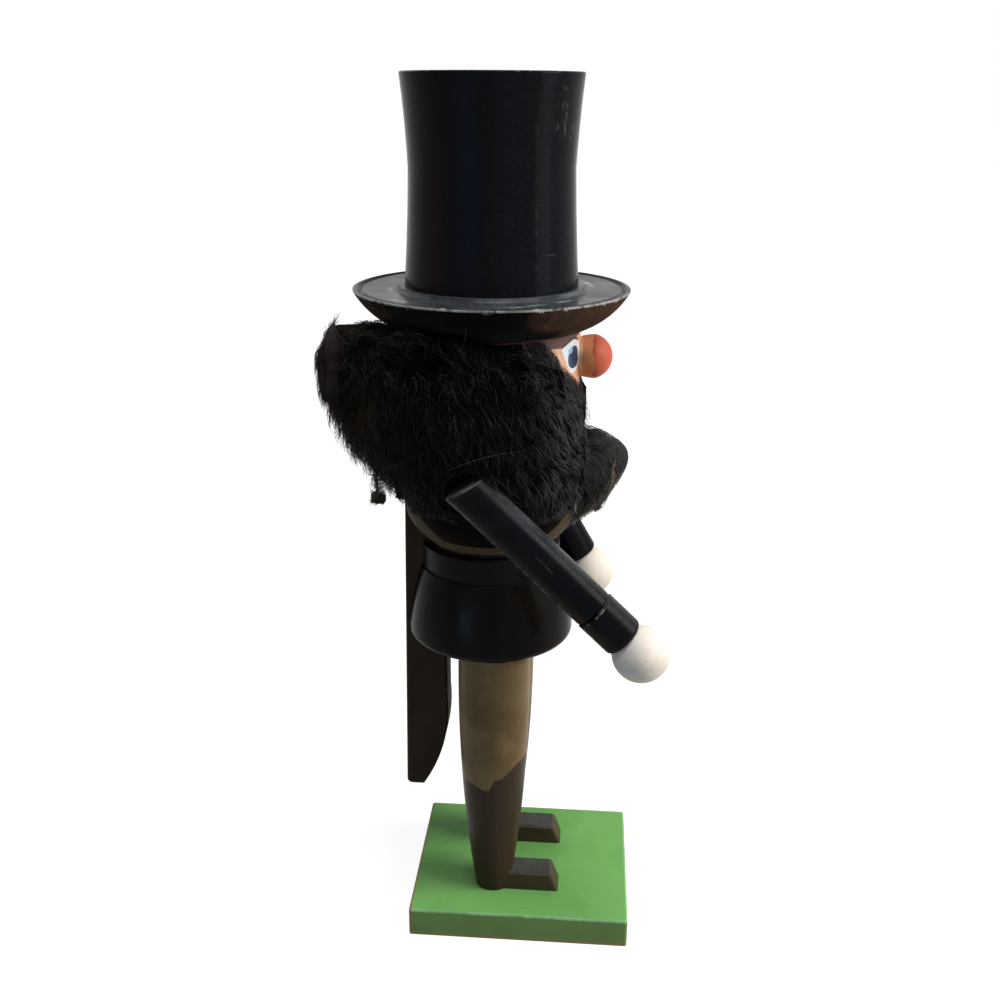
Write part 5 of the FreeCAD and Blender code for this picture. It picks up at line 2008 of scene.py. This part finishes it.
    def _shell(self) -> bmesh.types.BMesh:
        """Draws the CAD fur in from outside and makes its surface lumpy.

        Returns:
            The underfur's closed shape.
        """
        mesh = merged_copy("hair")
        long = [edge for edge in mesh.edges if edge.calc_length() > 5 * MM]
        bmesh.ops.subdivide_edges(mesh, edges=long, cuts=1)
        bmesh.ops.triangulate(mesh, faces=mesh.faces)
        mesh.normal_update()
        moves = []
        depth, extra = self.depth
        for vertex in mesh.verts:
            if math.hypot(vertex.co.x, vertex.co.y) < 39.4 * MM:
                moves.append(vertex.co.copy())
                continue
            lump = noise.noise(vertex.co * 90) * 1.4 + noise.noise(vertex.co * 210) * 0.6
            lower_back = extra if vertex.co.y > 30 * MM and vertex.co.z < 248 * MM else 0.0
            place = vertex.co - vertex.normal * (depth + lump + lower_back) * MM
            flat = math.hypot(place.x, place.y)
            place.z = min(place.z, (self._top(place) - 1.2) * MM)
            if flat < self.inner * MM:
                place.x *= self.inner * MM / flat
                place.y *= self.inner * MM / flat
            moves.append(place)
        for vertex, place in zip(mesh.verts, moves):
            vertex.co = place
        mesh.normal_update()
        return mesh

    def _outer(self, shell: bmesh.types.BMesh) -> list[bmesh.types.BMFace]:
        """The faces of the shell that hair grows on.

        Args:
            shell: The underfur.

        Returns:
            Its faces, apart from those towards the head or the shoulders.
        """
        outer = []
        for face in shell.faces:
            middle = face.calc_center_median()
            radial = Vector((middle.x, middle.y, 0)).normalized()
            flat = math.hypot(middle.x, middle.y)
            hidden = face.normal.dot(radial) < -0.2 or (flat < 42 * MM and abs(face.normal.z) > 0.7)
            if not hidden and face.calc_area() > LEAST_AREA and face.normal.z > -0.7:
                outer.append(face)
        return outer

    def _way(self, place: Vector, normal: Vector) -> Vector:
        """The lie of the fur: down, forward at the cheeks, backward behind, tousled near the brim.

        Args:
            place: The place.
            normal: The surface's normal there.

        Returns:
            The way along the surface, of length 1.
        """
        under = max(0.0, min(1.0, (place.z - 262 * MM) / (14 * MM)))
        ahead = max(0.0, min(1.0, (12 * MM - place.y) / (40 * MM)))
        behind = max(0.0, min(1.0, (place.y - 25 * MM) / (30 * MM)))
        swirl = noise.noise_vector(place * 55) * 0.6 + noise.noise_vector(place * 190) * 0.6
        way = Vector((0, 0.25 * behind - 0.55 * ahead - 0.1, -1.0)) + swirl * (0.85 + 1.1 * under)
        way.z += 0.75 * under
        way -= normal * way.dot(normal)
        return way.normalized()


@dataclass
class Beard:
    """The tuft on the jaw, with a pale ragged fringe along its lower edge. All sizes are in millimetres.

    Attributes:
        seed: Fixes every chance.
        strands: How many strands the tuft has.
        fringe_strands: How many strands hang from its back and lower side.
        fringe_y: The Y between which these start.
        half_width: Half the fringe's width.
        lower_edge: Y and height of the fringe's ends.
        depth: How far the core lies under the CAD tuft's surface.
    """

    seed: int = 11
    strands: int = 6000
    fringe_strands: int = 3200
    fringe_y: Pair = (-54.0, -38.6)
    half_width: float = 13.0
    lower_edge: Curve = ((-59.0, 222.0), (-56.2, 215.3), (-53.0, 211.0), (-49.6, 208.2), (-47.2, 204.0),
                         (-40.4, 198.0), (-36.0, 195.5))
    depth: float = 1.4

    def build(self) -> None:
        """Builds the tuft's core and grows its strands."""
        core = self._core()
        hand_over(finish_mesh(core.copy(), "beard_underfur", UNDERFUR.dye(), SMOOTH), LEVER, "fur", "beard")
        dice = random.Random(self.seed)
        cover = Cover("beard", 0.5)
        coat, fringe = Tress("beard_hair", LEVER, BEARD_FUR.dye()), Tress("beard_fringe", LEVER, FRINGE_FUR.dye())

        def hold(place: Vector) -> Vector:
            """Keeps a strand to the tuft and off the chest."""
            return cover.clear_swing(cover.hold(place))

        outer = [face for face in core.faces if face.normal.y < 0.35 and face.calc_area() > LEAST_AREA]
        for root, normal in scatter(outer, self.strands, dice):
            coat.strands.append(grow(root, normal, BEARD_HAIR, self._way, hold, dice))
        core.free()
        for _ in range(self.fringe_strands):
            self._hang(cover, coat, fringe, dice)
        coat.hand_over()
        fringe.hand_over()

    def _hang(self, cover: Cover, coat: Tress, fringe: Tress, dice: random.Random) -> None:
        """Hangs one strand between the tuft and the chest, down to the fringe's ragged edge.

        Args:
            cover: Keeps the strand off the chest.
            coat: Takes the dark strands.
            fringe: Takes the pale strands.
            dice: The seeded source of chance.
        """
        side = dice.uniform(-1, 1)
        y = dice.uniform(*self.fringe_y)
        low = between(self.lower_edge, y)
        root = cover.clear_swing(mm(side * self.half_width, y, low + dice.uniform(7, 15) - 1.5 * side * side))
        jitter = dice.uniform(-0.5, 1.6)

        def hold(place: Vector) -> Vector:
            """Keeps a strand above the fringe's edge and off the chest."""
            place.z = max(place.z, (between(self.lower_edge, place.y / MM) + jitter + 2.0 * side * side) * MM)
            return cover.clear_swing(place)

        down = Vector((0.3 * side, 0.12, -1.0))
        strand = grow(root, Vector((0, -1, 0)), FRINGE_HAIR, lambda place, normal: down, hold, dice)
        strand.points[0] = root
        pale = strand.points[-1].z < (low + 3.5) * MM and dice.random() < 0.3
        (fringe if pale else coat).strands.append(strand)

    def _core(self) -> bmesh.types.BMesh:
        """Draws the CAD tuft in from outside.

        Returns:
            The core's closed shape.
        """
        mesh = merged_copy("beard")
        bmesh.ops.triangulate(mesh, faces=mesh.faces)
        mesh.normal_update()
        for vertex, normal in [(vertex, vertex.normal.copy()) for vertex in mesh.verts]:
            if normal.y < 0.5:
                vertex.co = vertex.co - normal * (self.depth + noise.noise(vertex.co * 120)) * MM
        mesh.normal_update()
        return mesh

    @staticmethod
    def _way(place: Vector, normal: Vector) -> Vector:
        """The lie of the beard: forward and down at its top, straight down below.

        Args:
            place: The place.
            normal: The surface's normal there.

        Returns:
            The way along the surface, of length 1.
        """
        top = max(0.0, min(1.0, (place.z - 212 * MM) / (20 * MM)))
        way = Vector((place.x * 8, -0.7 * top + 0.2 * (1 - top), -0.85)) + noise.noise_vector(place * 110) * 0.6
        way -= normal * way.dot(normal)
        return way.normalized()


NOISE_SEED = 7  # without it the noise that bends the hair would follow the clock


def main() -> None:
    """Builds the studio and dresses the figure, piece by piece."""
    logging.basicConfig(level=logging.INFO, format="%(name)s: %(message)s")
    noise.seed_set(NOISE_SEED)
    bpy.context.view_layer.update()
    Studio().build()
    Stand().build()
    Coat().build()
    Arm("right", mm(-47.2, 6.0, 223.0), 44.0).build()
    Arm("left", mm(47.2, 6.0, 237.0), 60.0).build()
    Head().build()
    Hat().build()
    Pelt().build()
    Beard().build()
    log.info("sizes written")


if __name__ == "__main__":
    main()
